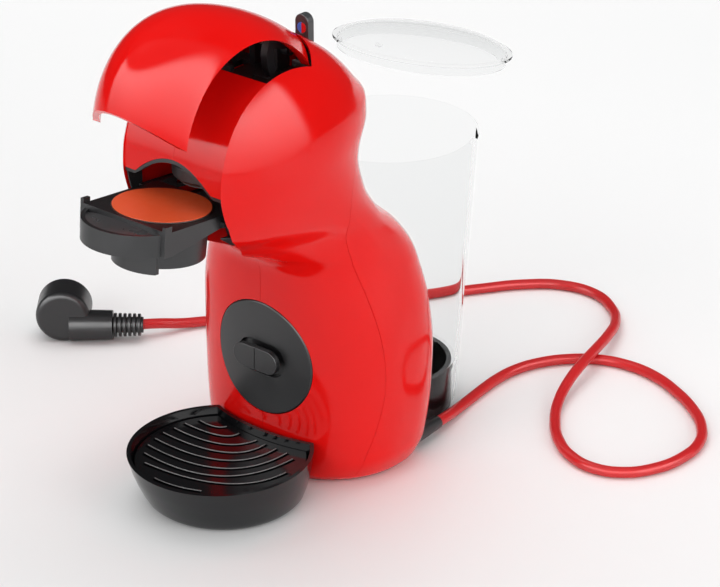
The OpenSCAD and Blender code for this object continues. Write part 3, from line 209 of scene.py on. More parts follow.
RED = (0.72, 0.005, 0.004)
FINISH = {
    "red_shell": moulded("red_gloss_plastic", RED, 0.96, (0.10, 0.15), 6, 0.004, 0.24),
    "button_red": moulded("red_button_plastic", RED, 0.95, (0.14, 0.20), 3, 0.006, 0.3),
    "black_satin": moulded("black_satin_plastic", (0.014, 0.014, 0.015), 0.8, (0.28, 0.36), 0.5, 0.012),
    "foot_rubber": moulded("foot_rubber", (0.03, 0.03, 0.03), 0.8, (0.6, 0.75), 0.8, 0.03),
    "screw_steel": metal("screw_steel", (0.62, 0.61, 0.60), (0.22, 0.38)),
    "inner_black": moulded("inner_black_plastic", (0.008, 0.008, 0.009), 0.8, (0.42, 0.55), 0.6, 0.02),
    "inner_grey": moulded("inner_grey_plastic", (0.28, 0.28, 0.29), 0.85, (0.45, 0.6), 0.6, 0.02),
    "seal_rubber": moulded("seal_rubber", (0.05, 0.05, 0.05), 0.8, (0.55, 0.7), 0.6, 0.02),
    "holder_black": moulded("holder_black_plastic", (0.013, 0.013, 0.014), 0.8, (0.30, 0.42), 0.45, 0.02),
    # The grip dish's lighter black is a painted sheen where the dish faces up to the light.
    "grip_painted_sheen": moulded("grip_painted_sheen_plastic", (0.05, 0.05, 0.052), 0.8, (0.26, 0.36), 0.45, 0.015),
    "pod_cup": moulded("pod_cup_plastic", (0.05, 0.03, 0.025), 0.85, (0.35, 0.45), 1, 0.01),
    "pod_lid": printed_foil("pod_lid_foil"),
    "lever_black": moulded("lever_grey_plastic", (0.045, 0.047, 0.05), 0.8, (0.3, 0.42), 0.5, 0.015),
    "mark_blue": moulded("mark_blue_ink", (0.05, 0.24, 0.85), 0.9, (0.2, 0.3), 0.6, 0.004),
    "mark_red": moulded("mark_red_ink", (0.7, 0.02, 0.02), 0.9, (0.2, 0.3), 0.6, 0.004),
    "tray_black": moulded("tray_black_gloss_plastic", (0.005, 0.005, 0.006), 0.85, (0.12, 0.18), 4, 0.004,
                          0.45),
    # Light grey on the slot beads is a painted highlight: it stands in for the light lines along the slots of
    # the black grid.
    "grid_lip": moulded("grid_lip_painted_highlight_plastic", (0.17, 0.17, 0.17), 0.85, (0.25, 0.35), 1, 0.01),
    "tank_clear": clear_plastic("tank_clear_plastic", (0.945, 0.95, 0.95), (0.0, 0.02), 1.02),
    "lid_clear": clear_plastic("lid_clear_plastic", (0.92, 0.925, 0.925), (0.0, 0.02), 1.05),
    "block_aluminium": metal("block_aluminium", (0.72, 0.72, 0.73), (0.3, 0.5)),
    "board_green": circuit_board("control_board_green"),
    "hose_clear": moulded("hose_silicone", (0.70, 0.70, 0.68), 0.9, (0.3, 0.45), 2, 0.01),
    "cord_red": moulded("cord_red_rubber", (0.56, 0.012, 0.014), 0.9, (0.30, 0.40), 1.2, 0.01),
    "pin_brass": metal("pin_nickel", (0.70, 0.67, 0.60), (0.15, 0.28)),
}

# ---------------------------------------------------------------- solids, in millimetres


def solid(name, points, faces):
    """Object at the origin from points in millimetres."""
    mesh = bpy.data.meshes.new(name)
    mesh.from_pydata([tuple(c * MM for c in p) for p in points], [], faces)
    shaped = bmesh.new()
    shaped.from_mesh(mesh)
    bmesh.ops.remove_doubles(shaped, verts=shaped.verts, dist=1e-7)
    bmesh.ops.recalc_face_normals(shaped, faces=shaped.faces)
    shaped.to_mesh(mesh)
    shaped.free()
    piece = bpy.data.objects.new(name, mesh)
    bpy.context.scene.collection.objects.link(piece)
    return piece


def ring_stack(name, rings):
    """Closed solid through rings of equal length."""
    n, last = len(rings[0]), len(rings) - 1
    points = [p for ring in rings for p in ring]
    faces = [(j * n + i, (j + 1) * n + i, (j + 1) * n + (i + 1) % n, j * n + (i + 1) % n)
             for j in range(last) for i in range(n)]
    faces += [tuple(range(n)), tuple(last * n + i for i in reversed(range(n)))]
    return solid(name, points, faces)


def prism_x(name, outline, x0, x1):
    """Straight solid along X from an outline of y and z."""
    return ring_stack(name, [[(x, y, z) for y, z in outline] for x in (x0, x1)])


def prism_y(name, outline, y0, y1):
    """Straight solid along Y from an outline of x and z."""
    return ring_stack(name, [[(x, y, z) for x, z in outline] for y in (y0, y1)])


def prism_z(name, outline, z0, z1):
    """Straight solid along Z from an outline of x and y."""
    return ring_stack(name, [[(x, y, z) for x, y in outline] for z in (z0, z1)])


def block(name, low, high):
    """Box between two corners."""
    plan = [(low[0], low[1]), (high[0], low[1]), (high[0], high[1]), (low[0], high[1])]
    return prism_z(name, plan, low[2], high[2])


def circle(cx, cy, r, n=96):
    """Outline of a circle."""
    return [(cx + r * math.cos(2 * math.pi * i / n), cy + r * math.sin(2 * math.pi * i / n))
            for i in range(n)]


def turned_solid(name, profile, axis_y, n=128):
    """Revolved solid round the upright line at axis_y; the profile is radius and height."""
    rings = [[(x, y, z) for x, y in circle(0, axis_y, r, n)] for r, z in profile]
    points = [p for ring in rings for p in ring]
    m = len(rings)
    faces = []
    for j in range(m):
        k = (j + 1) % m
        if profile[j][0] == 0 and profile[k][0] == 0:
            continue
        faces += [(j * n + i, k * n + i, k * n + (i + 1) % n, j * n + (i + 1) % n) for i in range(n)]
    return solid(name, points, faces)


def rounded(profile, radii):
    """Profile with the given corners rounded; radii maps a corner's number to its radius."""
    steps = 4
    out = []
    n = len(profile)
    for i, p in enumerate(profile):
        if i not in radii:
            out.append(p)
            continue
        p, a, b = Vector(p), Vector(profile[i - 1]), Vector(profile[(i + 1) % n])
        r = min(radii[i], 0.49 * (a - p).length, 0.49 * (b - p).length)
        start, end = p + (a - p).normalized() * r, p + (b - p).normalized() * r
        for k in range(steps + 1):
            t = k / steps
            q = start * (1 - t) ** 2 + p * 2 * t * (1 - t) + end * t * t
            out.append((q.x, q.y))
    return out


def bake(piece):
    """Turns a piece's modifiers into its mesh."""
    graph = bpy.context.evaluated_depsgraph_get()
    mesh = bpy.data.meshes.new_from_object(piece.evaluated_get(graph), depsgraph=graph)
    old = piece.data
    piece.modifiers.clear()
    piece.data = mesh
    bpy.data.meshes.remove(old)
    mesh.name = piece.name
    return piece


def carve(piece, tool, operation="DIFFERENCE"):
    """Cuts the tool out of the piece, or joins or intersects them, and removes the tool."""
    cut = piece.modifiers.new("cut", "BOOLEAN")
    cut.operation = operation
    cut.solver = "EXACT"
    cut.object = tool
    bake(piece)
    bpy.data.objects.remove(tool)
    return piece


def copy_of(piece, name):
    """Second piece with its own copy of the mesh."""
    twin = bpy.data.objects.new(name, piece.data.copy())
    bpy.context.scene.collection.objects.link(twin)
    return twin


def welded(pieces, name):
    """Several pieces' meshes as one object."""
    whole = bmesh.new()
    for piece in pieces:
        whole.from_mesh(piece.data)
    mesh = bpy.data.meshes.new(name)
    whole.to_mesh(mesh)
    whole.free()
    for piece in pieces:
        bpy.data.objects.remove(piece)
    joined = bpy.data.objects.new(name, mesh)
    bpy.context.scene.collection.objects.link(joined)
    return joined


def shade(piece, angle):
    """Smooth shading with creases where faces meet at more than the angle."""
    piece.data.shade_smooth()
    piece.data.set_sharp_from_angle(angle=math.radians(angle))
    return piece


def soften(piece, radius_mm, segments, angle):
    """Rounds the edges as moulding does, then shades."""
    edge = piece.modifiers.new("edge", "BEVEL")
    edge.width = radius_mm * MM
    edge.segments = segments
    edge.limit_method = "ANGLE"
    edge.angle_limit = math.radians(angle)
    edge.use_clamp_overlap = True
    edge.miter_outer = "MITER_ARC"
    flat = piece.modifiers.new("flat", "WEIGHTED_NORMAL")
    flat.keep_sharp = True
    shade(piece, angle)
    return bake(piece)


def paint(piece, slot):
    """Gives the whole piece one finish."""
    piece.data.materials.clear()
    piece.data.materials.append(FINISH[slot])


def dress(piece, node):
    """Gives a piece the finish and the body of the node that it stands for."""
    slot = SLOT_OF[node]
    paint(piece, slot)
    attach(piece, BODY_OF[node])
    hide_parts(node)
    return piece


def merged_copy(node):
    """A node's own mesh, merged and with its flat faces rejoined."""
    flat, close = math.radians(0.6), 2e-6
    piece = bpy.data.objects.new(node + "_piece", NODES[node].data.copy())
    bpy.context.scene.collection.objects.link(piece)
    work = bmesh.new()
    work.from_mesh(piece.data)
    bmesh.ops.remove_doubles(work, verts=work.verts, dist=close)
    bmesh.ops.dissolve_limit(work, angle_limit=flat, verts=work.verts, edges=work.edges)
    work.to_mesh(piece.data)
    work.free()
    return piece


# ---------------------------------------------------------------- mains cord

CORD_D = 6.5
CORD_ROUTE = [
    (50, 32, 8), (49.3, 50, 7.2), (47.2, 60, 5.6), (44.6, 72, 4.2), (42.2, 86, 3.3), (40.3, 102, 3.3),
    (39.3, 118, 3.3), (40.8, 134, 3.3), (46, 149, 3.3), (57, 165, 3.3), (73, 177, 3.3), (92, 182, 3.3),
    (112, 180, 3.3), (132, 172, 3.3), (152, 160, 3.3), (168, 145, 3.3), (178, 127, 3.3), (180, 106, 3.3),
    (175, 86, 3.3), (164, 71, 3.3), (148, 64, 3.3), (130, 67, 3.3), (112, 79, 3.3), (98, 95, 3.3),
    (87, 113, 4.5), (80, 133, 8), (75, 155, 10.4), (70, 177, 10.4), (63, 200, 8.5), (53, 222, 5.5),
    (38, 240, 3.3), (17, 251, 3.3), (-7, 248, 3.3), (-27, 233, 3.3), (-44, 211, 3.3), (-64, 182, 3.3),
    (-88, 147, 3.3), (-112, 111, 3.3), (-134, 83, 3.3), (-150, 61, 3.6), (-158, 47, 5), (-164, 34, 8)]
PLUG_AT = (-210, -4.5, 17.05)
PLUG_TURN = math.radians(40)
PLUG_ARM, PLUG_SIDE, PLUG_DROP = 44, 6, 7
CORD_END = (PLUG_AT[0] + PLUG_ARM * math.cos(PLUG_TURN) + PLUG_SIDE * math.sin(PLUG_TURN),
            PLUG_AT[1] + PLUG_ARM * math.sin(PLUG_TURN) - PLUG_SIDE * math.cos(PLUG_TURN),
            PLUG_AT[2] - PLUG_DROP)


def mains_cord():
    """One smooth curve from inside the relief, round the loop and into the plug's arm."""
    route = CORD_ROUTE + [CORD_END]
    curve = bpy.data.curves.new("mains_cord", "CURVE")
    curve.dimensions = "3D"
    curve.resolution_u = 5
    curve.bevel_depth = CORD_D / 2 * MM
    curve.bevel_resolution = 5
    curve.use_fill_caps = True
    line = curve.splines.new("BEZIER")
    line.bezier_points.add(len(route) - 1)
    for knot, place in zip(line.bezier_points, route):
        knot.co = [c * MM for c in place]
        knot.handle_left_type = knot.handle_right_type = "AUTO"
    curve.materials.append(FINISH["cord_red"])
    cord = bpy.data.objects.new("mains_cord", curve)
    bpy.context.scene.collection.objects.link(cord)
    return cord


cord = mains_cord()

# ---------------------------------------------------------------- the body's surface

WALL = 2.6
# Columns: height, half width, front, widest line, back, and how square the back and front halves are.
HALF_WIDTH, FRONT, WIDEST, BACK, BACK_POWER, FRONT_POWER = range(1, 7)
STATIONS = [
    (0, 55, -50, 0, 36, 2.1, 2.1), (6, 61, -53.5, -3, 38, 2.3, 2.3), (18, 66, -54, -6, 40, 2.5, 2.5),
    (45, 68.5, -54, -5, 43.5, 2.5, 2.5), (72, 69, -54, -4.7, 44.6, 2.5, 2.5),
    (98, 68, -54, -6.4, 41.2, 2.5, 2.5), (127, 62.5, -54, -10.3, 36, 2.4, 2.4),
    (134, 61, -56, -14, 34, 2.35, 2.25), (140, 59.8, -61.5, -17, 30, 2.3, 2),
    (145, 59, -73, -20, 26, 2.25, 1.75), (150, 58.3, -88, -23, 20, 2.2, 1.5),
    (160, 57, -119, -30, 9, 2.1, 1.3), (175, 56.5, -140, -45, 2, 2, 1.6), (190, 56.6, -139, -57, 0, 2, 1.9),
    (206, 56.7, -136.6, -70, 9, 2, 2), (215, 56.1, -136, -70, 14.5, 2, 2), (223, 54.8, -134, -70, 15, 2, 2),
    (231, 52.5, -131.6, -70, 8.5, 2, 2), (240, 48.4, -128, -70, 0.5, 2, 2),
    (250, 42.3, -121.3, -70, -11, 2, 2), (258.6, 35, -114, -70, -24, 2, 2), (263, 29, -108, -70, -31.5, 2, 2)]
SHELL_BOTTOM = 0.6
SHELL_TOP = 263


def secant(i, k):
    """Rate of change of column k from station i to the next."""
    return (STATIONS[i + 1][k] - STATIONS[i][k]) / (STATIONS[i + 1][0] - STATIONS[i][0])


def slope(i, k):
    """Rate of change of column k at station i, never past its neighbours."""
    if i == 0:
        return secant(0, k)
    if i == len(STATIONS) - 1:
        return secant(i - 1, k)
    a, b = secant(i - 1, k), secant(i, k)
    return 0 if a * b <= 0 else 2 * a * b / (a + b)


def at_height(z, k):
    """Column k of the stations at any height, on one smooth line."""
    i = 0
    while i < len(STATIONS) - 2 and z > STATIONS[i + 1][0]:
        i += 1
    z0 = STATIONS[i][0]
    h = STATIONS[i + 1][0] - z0
    t = (z - z0) / h
    return (STATIONS[i][k] * (1 + 2 * t) * (1 - t) ** 2 + h * slope(i, k) * t * (1 - t) ** 2
            + STATIONS[i + 1][k] * t * t * (3 - 2 * t) + h * slope(i + 1, k) * t * t * (t - 1))


def power(v, e):
    """Power that keeps the sign."""
    return math.copysign(abs(v) ** e, v) if v else 0.0


def body_ring(z, inset, n):
    """Outline of the body at a height, from the front round the right side to the back and round the left."""
    w, front = at_height(z, HALF_WIDTH) - inset, at_height(z, FRONT) + inset
    mid, back = at_height(z, WIDEST), at_height(z, BACK) - inset
    ring = []
    for i in range(2 * n):
        a = math.radians(-90 + 180 * i / n)
        ahead = math.sin(a) < 0
        e = 2 / at_height(z, FRONT_POWER if ahead else BACK_POWER)
        reach = mid - front if ahead else back - mid
        ring.append((w * power(math.cos(a), e), mid + reach * power(math.sin(a), e), z))
    return ring


def front_y(x, z, proud):
    """How far forward the body's front stands at x and z."""
    w, front = at_height(z, HALF_WIDTH) + proud, at_height(z, FRONT) - proud
    mid, e = at_height(z, WIDEST), 2 / at_height(z, FRONT_POWER)
    c = min(abs(x) / w, 1) ** (1 / e)
    return mid - (mid - front) * math.sqrt(max(0, 1 - c * c)) ** e


def body_loft(name, inset, low, high, n, rows):
    """Solid inside the body's surface, with its rows closer together at the crown."""
    start = 0.06
    heights = [low + (high - low) * (0.5 - 0.5 * math.cos(math.pi * (start + (1 - start) * j / rows)))
               for j in range(rows + 1)]
    heights = [low + (h - heights[0]) * (high - low) / (heights[-1] - heights[0]) for h in heights]
    return ring_stack(name, [body_ring(z, inset, n) for z in heights])


# Openings and mounting places in the body.
BAY_HALF, BAY_BACK, BAY_WALL = 35, -60, 2
AHEAD = -200
HOOD_HALF = 33.4
CROWN_LOW, CROWN_HIGH = 236, 296
SEAM_GAP, MIDDLE_GAP = 0.12, 0.08
# Line between the side shells and the rear cover, seen from the side.
SEAM = [(-33, -5), (-34.5, 16), (-30, 35), (-25.5, 55), (-24.5, 70), (-26, 88), (-29.5, 107), (-33, 125),
        (-38, 142), (-42.5, 156), (-44, 168), (-41.5, 182), (-33.5, 193.5), (-22, 201), (-8, 207.5), (6, 213),
        (14, 217), (60, 224)]
TANK_Y = 58.4
TANK_R0 = 40.8
TANK_TAPER = 0.0605
CRADLE_GAP, CRADLE_TOP = 1.2, 260
DISC_Z, DISC_R, DISC_GAP = 73.2, 34.4, 0.3
LEVER_Y = -14.4
LEVER_SLOT_X, LEVER_SLOT_Y = 9.7, 3.5
BUTTON_LONG, BUTTON_WIDE = 38, 16
NECK_HALF, NECK_TOP = 8.3, 22.9
RELIEF_X, RELIEF_Z, RELIEF_R = 50, 8, 5.1
SLOPE_AT = Matrix.Translation((0, 4.5, 232.5)) @ Matrix.Rotation(math.radians(-45), 4, "X")
HOLDER_AT = Matrix.Translation((0, -129.9, 193.4)) @ Matrix.Rotation(math.radians(-5.8), 4, "X")
RIM_Y, RIM_Z = -69.9, 206.1


def crown_y(x):
    """Line behind the hood along which the head's top is cut."""
    hood_back, gap, corner = -30, 0.8, 18.5
    return hood_back + gap - corner * (x / HOOD_HALF) ** 2


def stadium(length, width, n=24):
    """Outline with round ends, long along its second axis."""
    r, s = width / 2, (length - width) / 2
    end = [(r * math.cos(math.pi * i / n), s + r * math.sin(math.pi * i / n)) for i in range(n + 1)]
    return end + [(-x, -y) for x, y in end]


def placed(piece, turn):
    """Moves a piece's mesh by a placing matrix in millimetres."""
    shift = turn.copy()
    shift.translation *= MM
    piece.data.transform(shift)
    return piece


def smooth_line(points, steps):
    """Finer line through the points."""
    out = []
    n = len(points)
    for i in range(n - 1):
        p = [Vector(points[min(max(k, 0), n - 1)]) for k in (i - 1, i, i + 1, i + 2)]
        for j in range(steps):
            t = j / steps
            out.append(tuple(0.5 * ((2 * p[1]) + (p[2] - p[0]) * t
                                    + (2 * p[0] - 5 * p[1] + 4 * p[2] - p[3]) * t * t
                                    + (3 * p[1] - p[0] - 3 * p[2] + p[3]) * t ** 3)))
    return out + [tuple(points[-1])]


def bay_outline(grow=0):
    """Outline of the bay between the side shells, narrowing to a slit on the column."""
    right = [(12, 135 - grow), (20, 154), (32.5, 172), (BAY_HALF, 184), (BAY_HALF, 290)]
    right = [(x + grow, z) for x, z in right]
    return right + [(-x, z) for x, z in right[::-1]]


def cradle(grow=0):
    """Room that the tank takes out of the body's back."""
    r0 = TANK_R0 + CRADLE_GAP + grow
    r1 = r0 + TANK_TAPER * CRADLE_TOP
    return turned_solid("cradle", [(0, 0), (r0, 0), (r1, CRADLE_TOP), (0, CRADLE_TOP)], TANK_Y)


def body_cover():
    """The whole hollow cover with every opening, before it is split at its seams."""
    cover = body_loft("cover", 0, SHELL_BOTTOM, SHELL_TOP, 80, 132)
    inside = body_loft("cover_inside", WALL, SHELL_BOTTOM - 0.5, SHELL_TOP - WALL, 40, 60)
    carve(inside, prism_y("bay_wall", bay_outline(BAY_WALL), AHEAD, BAY_BACK))
    carve(cover, carve(inside, cradle(WALL)))
    carve(cover, prism_y("bay", bay_outline(), AHEAD, BAY_BACK))
    crown = [(x, crown_y(x)) for x in [BAY_HALF * i / 12 for i in range(-12, 13)]]
    carve(cover, prism_z("crown", crown + [(BAY_HALF, AHEAD), (-BAY_HALF, AHEAD)], CROWN_LOW, CROWN_HIGH))
    carve(cover, cradle())
    carve(cover, prism_y("disc_bore", circle(0, DISC_Z, DISC_R + DISC_GAP), -70, -30))
    carve(cover, block("lever_slot", (-LEVER_SLOT_X, LEVER_Y - LEVER_SLOT_Y, 225),
                       (LEVER_SLOT_X, LEVER_Y + LEVER_SLOT_Y, 265)))
    carve(cover, placed(prism_z("button_hole", stadium(BUTTON_LONG, BUTTON_WIDE), -25, 25), SLOPE_AT))
    carve(cover, block("seat_neck_hole", (-NECK_HALF, 2, -1), (NECK_HALF, 32, NECK_TOP)))
    return cover


def drum_half():
    """Right half of the drum's wall under the raised hood, with its arched mouth."""
    outer, inner, half, reach = 51.6, 49.2, 35.6, 36
    top_y, low_z = -84, 188
    mouth_top, mouth_drop, shoulder_z, lip = 213.3, 0.01765, 200.5, 2.2
    wall = prism_x("drum", circle(RIM_Y, RIM_Z, outer, 160), MIDDLE_GAP, half)
    carve(wall, prism_x("drum_inside", circle(RIM_Y, RIM_Z, inner, 160), -1, 40))
    carve(wall, block("drum_back", (-5, top_y, 100), (50, 30, 300)))
    carve(wall, block("drum_low", (-5, -150, 88), (50, -50, low_z)))
    arch = [(x, max(mouth_top - mouth_drop * x * x, shoulder_z) + lip)
            for x in [reach * i / 24 for i in range(-1, 25)]]
    return carve(wall, prism_y("mouth", arch + [(reach, 150), (-1.5, 150)], -150, -60))


def cord_hole():
    """Hole for the cord's relief, low on the right of the back."""
    return prism_y("cord_hole", circle(RELIEF_X, RELIEF_Z, RELIEF_R, 48), 14, 86)


def mirrored(piece, name):
    """Left-hand twin of a right-hand piece."""
    twin = placed(copy_of(piece, name), Matrix.Scale(-1, 4, (1, 0, 0)))
    twin.data.flip_normals()
    return twin


def shells():
    """The two side shells and the rear cover, split along the seams."""
    cover = body_cover()
    line = smooth_line(SEAM, 4)
    behind = [(y + SEAM_GAP, z) for y, z in line] + [(90, 226), (90, -5)]
    before = [(y - SEAM_GAP, z) for y, z in line] + [(60, 300), (-250, 300), (-250, -5)]
    back = carve(copy_of(cover, "back_cover_piece"), prism_x("behind_seam", behind, -90, 90), "INTERSECT")
    half = carve(cover, prism_x("before_seam", before, MIDDLE_GAP, 90), "INTERSECT")
    side = welded([half, drum_half()], "side")
    left = mirrored(side, "left_shell_piece")
    right = carve(copy_of(side, "right_shell_piece"), cord_hole())
    bpy.data.objects.remove(side)
    carve(back, cord_hole())
    for piece, node in ((left, "left_shell"), (right, "right_shell"), (back, "back_cover")):
        dress(soften(piece, 0.35, 2, 40), node)


shells()

# ---------------------------------------------------------------- hood

HINGE_Y, HINGE_Z = -43.4, 258.6
HOOD_WALL = 2.6
HOOD_OPEN = -32
RIM_FRONT, RIM_BACK = 170, 31
HOOD_RIM_R = 52.1
SPINE = [Vector(p) for p in ((-166, 256.5), (-153, 317.5), (-77, 299.5), (-30, 262))]


def opened(y, z, degrees):
    """Where a point of the shut hood is when the hood has turned on its pin."""
    a = math.radians(degrees)
    dy, dz = y - HINGE_Y, z - HINGE_Z
    return Vector((HINGE_Y + dy * math.cos(a) - dz * math.sin(a),
                   HINGE_Z + dy * math.sin(a) + dz * math.cos(a)))


HOOD_CENTRE = opened(RIM_Y, RIM_Z, HOOD_OPEN)


def hood_ring(t, inset, r, steps):
    """Cross-section of the hood from its front edge, t = 0, to its back, t = 1."""
    thick, side_thick, arch = 1.15, 1.5, 1.15
    a = math.radians(RIM_FRONT + t * (RIM_BACK - RIM_FRONT))
    rim = HOOD_CENTRE + r * Vector((math.cos(a), math.sin(a)))
    spine = (SPINE[0] * (1 - t) ** 3 + 3 * SPINE[1] * t * (1 - t) ** 2
             + 3 * SPINE[2] * t * t * (1 - t) + SPINE[3] * t ** 3)
    top = spine - (spine - rim).normalized() * inset * thick
    half = HOOD_HALF - inset * side_thick
    ring = []
    for i in range(-steps, steps + 1):
        s = math.sin(math.pi / 2 * i / steps)
        f = (1 - s * s) ** arch if abs(i) < steps else 0
        p = rim + (top - rim) * f
        ring.append((half * s, p.x, p.y))
    return ring


def hood_body(name, inset, r, t0, t1, steps, rows):
    """Solid through the hood's cross-sections."""
    return ring_stack(name, [hood_ring(t0 + (t1 - t0) * j / rows, inset, r, steps)
                             for j in range(rows + 1)])


hood = hood_body("hood_piece", 0, HOOD_RIM_R, 0, 1, 36, 72)
carve(hood, hood_body("hood_inside", HOOD_WALL, HOOD_RIM_R - 2, -0.02, 1.03, 22, 48))
dress(soften(hood, 0.6, 3, 40), "hood")

# ---------------------------------------------------------------- front disc, hook, tray and grid


def front_disc():
    """Disc whose face follows the column, with a rounded edge and a pocket for the hook."""
    n, edge, proud, disc_back, rim = 144, 0.9, 0.4, -46.6, 2.4
    rings = [((DISC_R - edge) * k / 24, 0) for k in range(25)]
    rings += [(DISC_R - edge * (1 - math.sin(a)), edge * (1 - math.cos(a)))
              for a in (math.pi / 10, math.pi / 5, math.pi * 0.3, math.pi * 0.4, math.pi / 2)]
    points = [(0, front_y(0, DISC_Z, proud), DISC_Z)]
    for r, back in rings[1:]:
        points += [(x, front_y(x, z, proud) + back, z) for x, z in circle(0, DISC_Z, r, n)]
    points += [(x, disc_back, z) for x, z in circle(0, DISC_Z, DISC_R, n)]
    faces = [(0, 1 + i, 1 + (i + 1) % n) for i in range(n)]
    for k in range(len(rings) - 1):
        a, b = 1 + k * n, 1 + (k + 1) * n
        faces += [(a + i, b + i, b + (i + 1) % n, a + (i + 1) % n) for i in range(n)]
    faces.append(tuple(1 + (len(rings) - 1) * n + i for i in reversed(range(n))))
    disc = solid("front_disc_piece", points, faces)
    carve(disc, prism_y("disc_hollow", circle(0, DISC_Z, DISC_R - rim), -50, -44))
    pocket_long, pocket_wide, pocket_back = 34, 20.2, -50.5
    pocket = [(p[1], DISC_Z + p[0]) for p in stadium(pocket_long, pocket_wide, 32)]
    return carve(disc, prism_y("pocket", pocket, -60, pocket_back))


dress(soften(front_disc(), 0.5, 3, 40), "front_disc")

TRAY_Y, TRAY_R, TRAY_H, TRAY_WALL = -90, 52.5, 29.5, 2.2
# Height, radius and middle of the bowl at each level.
TRAY_LEVELS = [(0, 40.5, -86), (1, 43, -86.2), (3, 45, -86.5), (8, 47.2, -87.2), (14, 49.2, -88),
               (21, 51, -89), (TRAY_H, TRAY_R, TRAY_Y)]
TRAY_BACK_R, TRAY_BACK_Y = 108, 50.5


def tray_ring(z, inset):
    """Outline of the bowl at a height."""
    i = 0
    while i < len(TRAY_LEVELS) - 2 and z > TRAY_LEVELS[i + 1][0]:
        i += 1
    a, b = TRAY_LEVELS[i], TRAY_LEVELS[i + 1]
    t = (z - a[0]) / (b[0] - a[0])
    r, y = a[1] + (b[1] - a[1]) * t - inset, a[2] + (b[2] - a[2]) * t
    return [(px, py, z) for px, py in circle(0, y, r, 160)]


def behind_tray(gap):
    """Room that the tray's hollow back leaves for the column."""
    return prism_z("behind", circle(0, TRAY_BACK_Y, TRAY_BACK_R + gap, 360), -1, 60)


def drip_tray():
    """Bowl with a hollow back that fits the column, and a stop under it."""
    heights = sorted({level[0] for level in TRAY_LEVELS} | {0.4, 2, 5, 11, 17.5, 25})
    bowl = ring_stack("drip_tray_piece", [tray_ring(z, 0) for z in heights])
    inner = [h for h in heights if h > TRAY_WALL]
    inside = ring_stack("tray_inside", [tray_ring(z, TRAY_WALL) for z in [TRAY_WALL] + inner]
                        + [[(x, y, TRAY_H + 1) for x, y, z in tray_ring(TRAY_H, TRAY_WALL)]])
    carve(inside, behind_tray(TRAY_WALL))
    carve(bowl, inside)
    carve(bowl, behind_tray(0))
    stop_half, stop_front, stop_back, stop_low, stop_high = 8, -58.5, -54.3, 8, 16
    stop = block("stop", (-stop_half, stop_front, stop_low), (stop_half, stop_back, stop_high))
    return carve(bowl, stop, "UNION")


dress(soften(drip_tray(), 0.55, 3, 32), "drip_tray")

# Left end, lowest point and right end of each slot, in plan.
SLOTS = [
    ((-12, -132), (3, -131), (18, -126)), ((-28, -123), (22, -112), (41, -80)),
    ((-36, -115), (15, -107), (34, -66)), ((-41, -107), (10, -100), (27, -63)),
    ((-43, -99), (4, -93), (19, -63)), ((-44, -91), (-2, -86), (11, -63)),
    ((-43, -83), (-10, -80), (4, -63)), ((-42, -75), (-17, -73), (-9, -63)),
    ((-38, -67), (-26, -67), (-20, -62))]
GRID_Z, GRID_THICK, GRID_INSET, GRID_GAP = 24.5, 2, 4.4, 0.4
SLOT_HALF = 1.1
BEAD_R, BEAD_OFF, BEAD_RISE = 0.32, 1.25, 0.05


def slot_side(s, off):
    """Line beside a slot's middle."""
    steps = 28
    a, m, b = (Vector(p) for p in s)
    c = 2 * m - 0.5 * (a + b)
    side = []
    for i in range(steps + 1):
        t = i / steps
        p = a * (1 - t) ** 2 + 2 * c * t * (1 - t) + b * t * t
        d = (2 * (1 - t) * (c - a) + 2 * t * (b - c)).normalized()
        side.append((p.x - d.y * off, p.y + d.x * off))
    return side


def drip_grid():
    """Slotted plate that lies in the tray."""
    rim = circle(0, TRAY_Y, TRAY_R - GRID_INSET, 160)
    grid = prism_z("drip_grid_piece", rim, GRID_Z - GRID_THICK, GRID_Z)
    carve(grid, behind_tray(TRAY_WALL + GRID_GAP))
    cutters = [prism_z("slot", slot_side(s, SLOT_HALF) + slot_side(s, -SLOT_HALF)[::-1],
                       GRID_Z - 4, GRID_Z + 2) for s in SLOTS]
    return carve(grid, welded(cutters, "slots"))


dress(soften(drip_grid(), 0.35, 3, 40), "drip_grid")


def lip_nodes():
    """Node group that sweeps a round bead along every edge line of a mesh."""
    group = bpy.data.node_groups.new("bead_along_lines", "GeometryNodeTree")
    face = group.interface
    face.new_socket("Lines", in_out="INPUT", socket_type="NodeSocketGeometry")
    face.new_socket("Bead Radius", in_out="INPUT", socket_type="NodeSocketFloat")
    face.new_socket("Finish", in_out="INPUT", socket_type="NodeSocketMaterial")
    face.new_socket("Beads", in_out="OUTPUT", socket_type="NodeSocketGeometry")
    made = {}
    for key, kind in (("in", "NodeGroupInput"), ("line", "GeometryNodeMeshToCurve"),
                      ("bead", "GeometryNodeCurveToMesh"), ("round", "GeometryNodeCurvePrimitiveCircle"),
                      ("soft", "GeometryNodeSetShadeSmooth"),
                      ("real", "GeometryNodeRealizeInstances"), ("paint", "GeometryNodeSetMaterial"),
                      ("out", "NodeGroupOutput")):
        made[key] = group.nodes.new(kind)
    made["round"].inputs["Resolution"].default_value = 8
    made["bead"].inputs["Fill Caps"].default_value = True
    for a, x, b, y in (("in", "Lines", "line", "Mesh"), ("line", "Curve", "bead", "Curve"),
                       ("in", "Bead Radius", "round", "Radius"), ("round", "Curve", "bead", "Profile Curve"),
                       ("bead", "Mesh", "soft", "Geometry"), ("soft", "Geometry", "real", "Geometry"),
                       ("real", "Geometry", "paint", "Geometry"), ("in", "Finish", "paint", "Material"),
                       ("paint", "Geometry", "out", "Beads")):
        group.links.new(made[a].outputs[x], made[b].inputs[y])
    return group


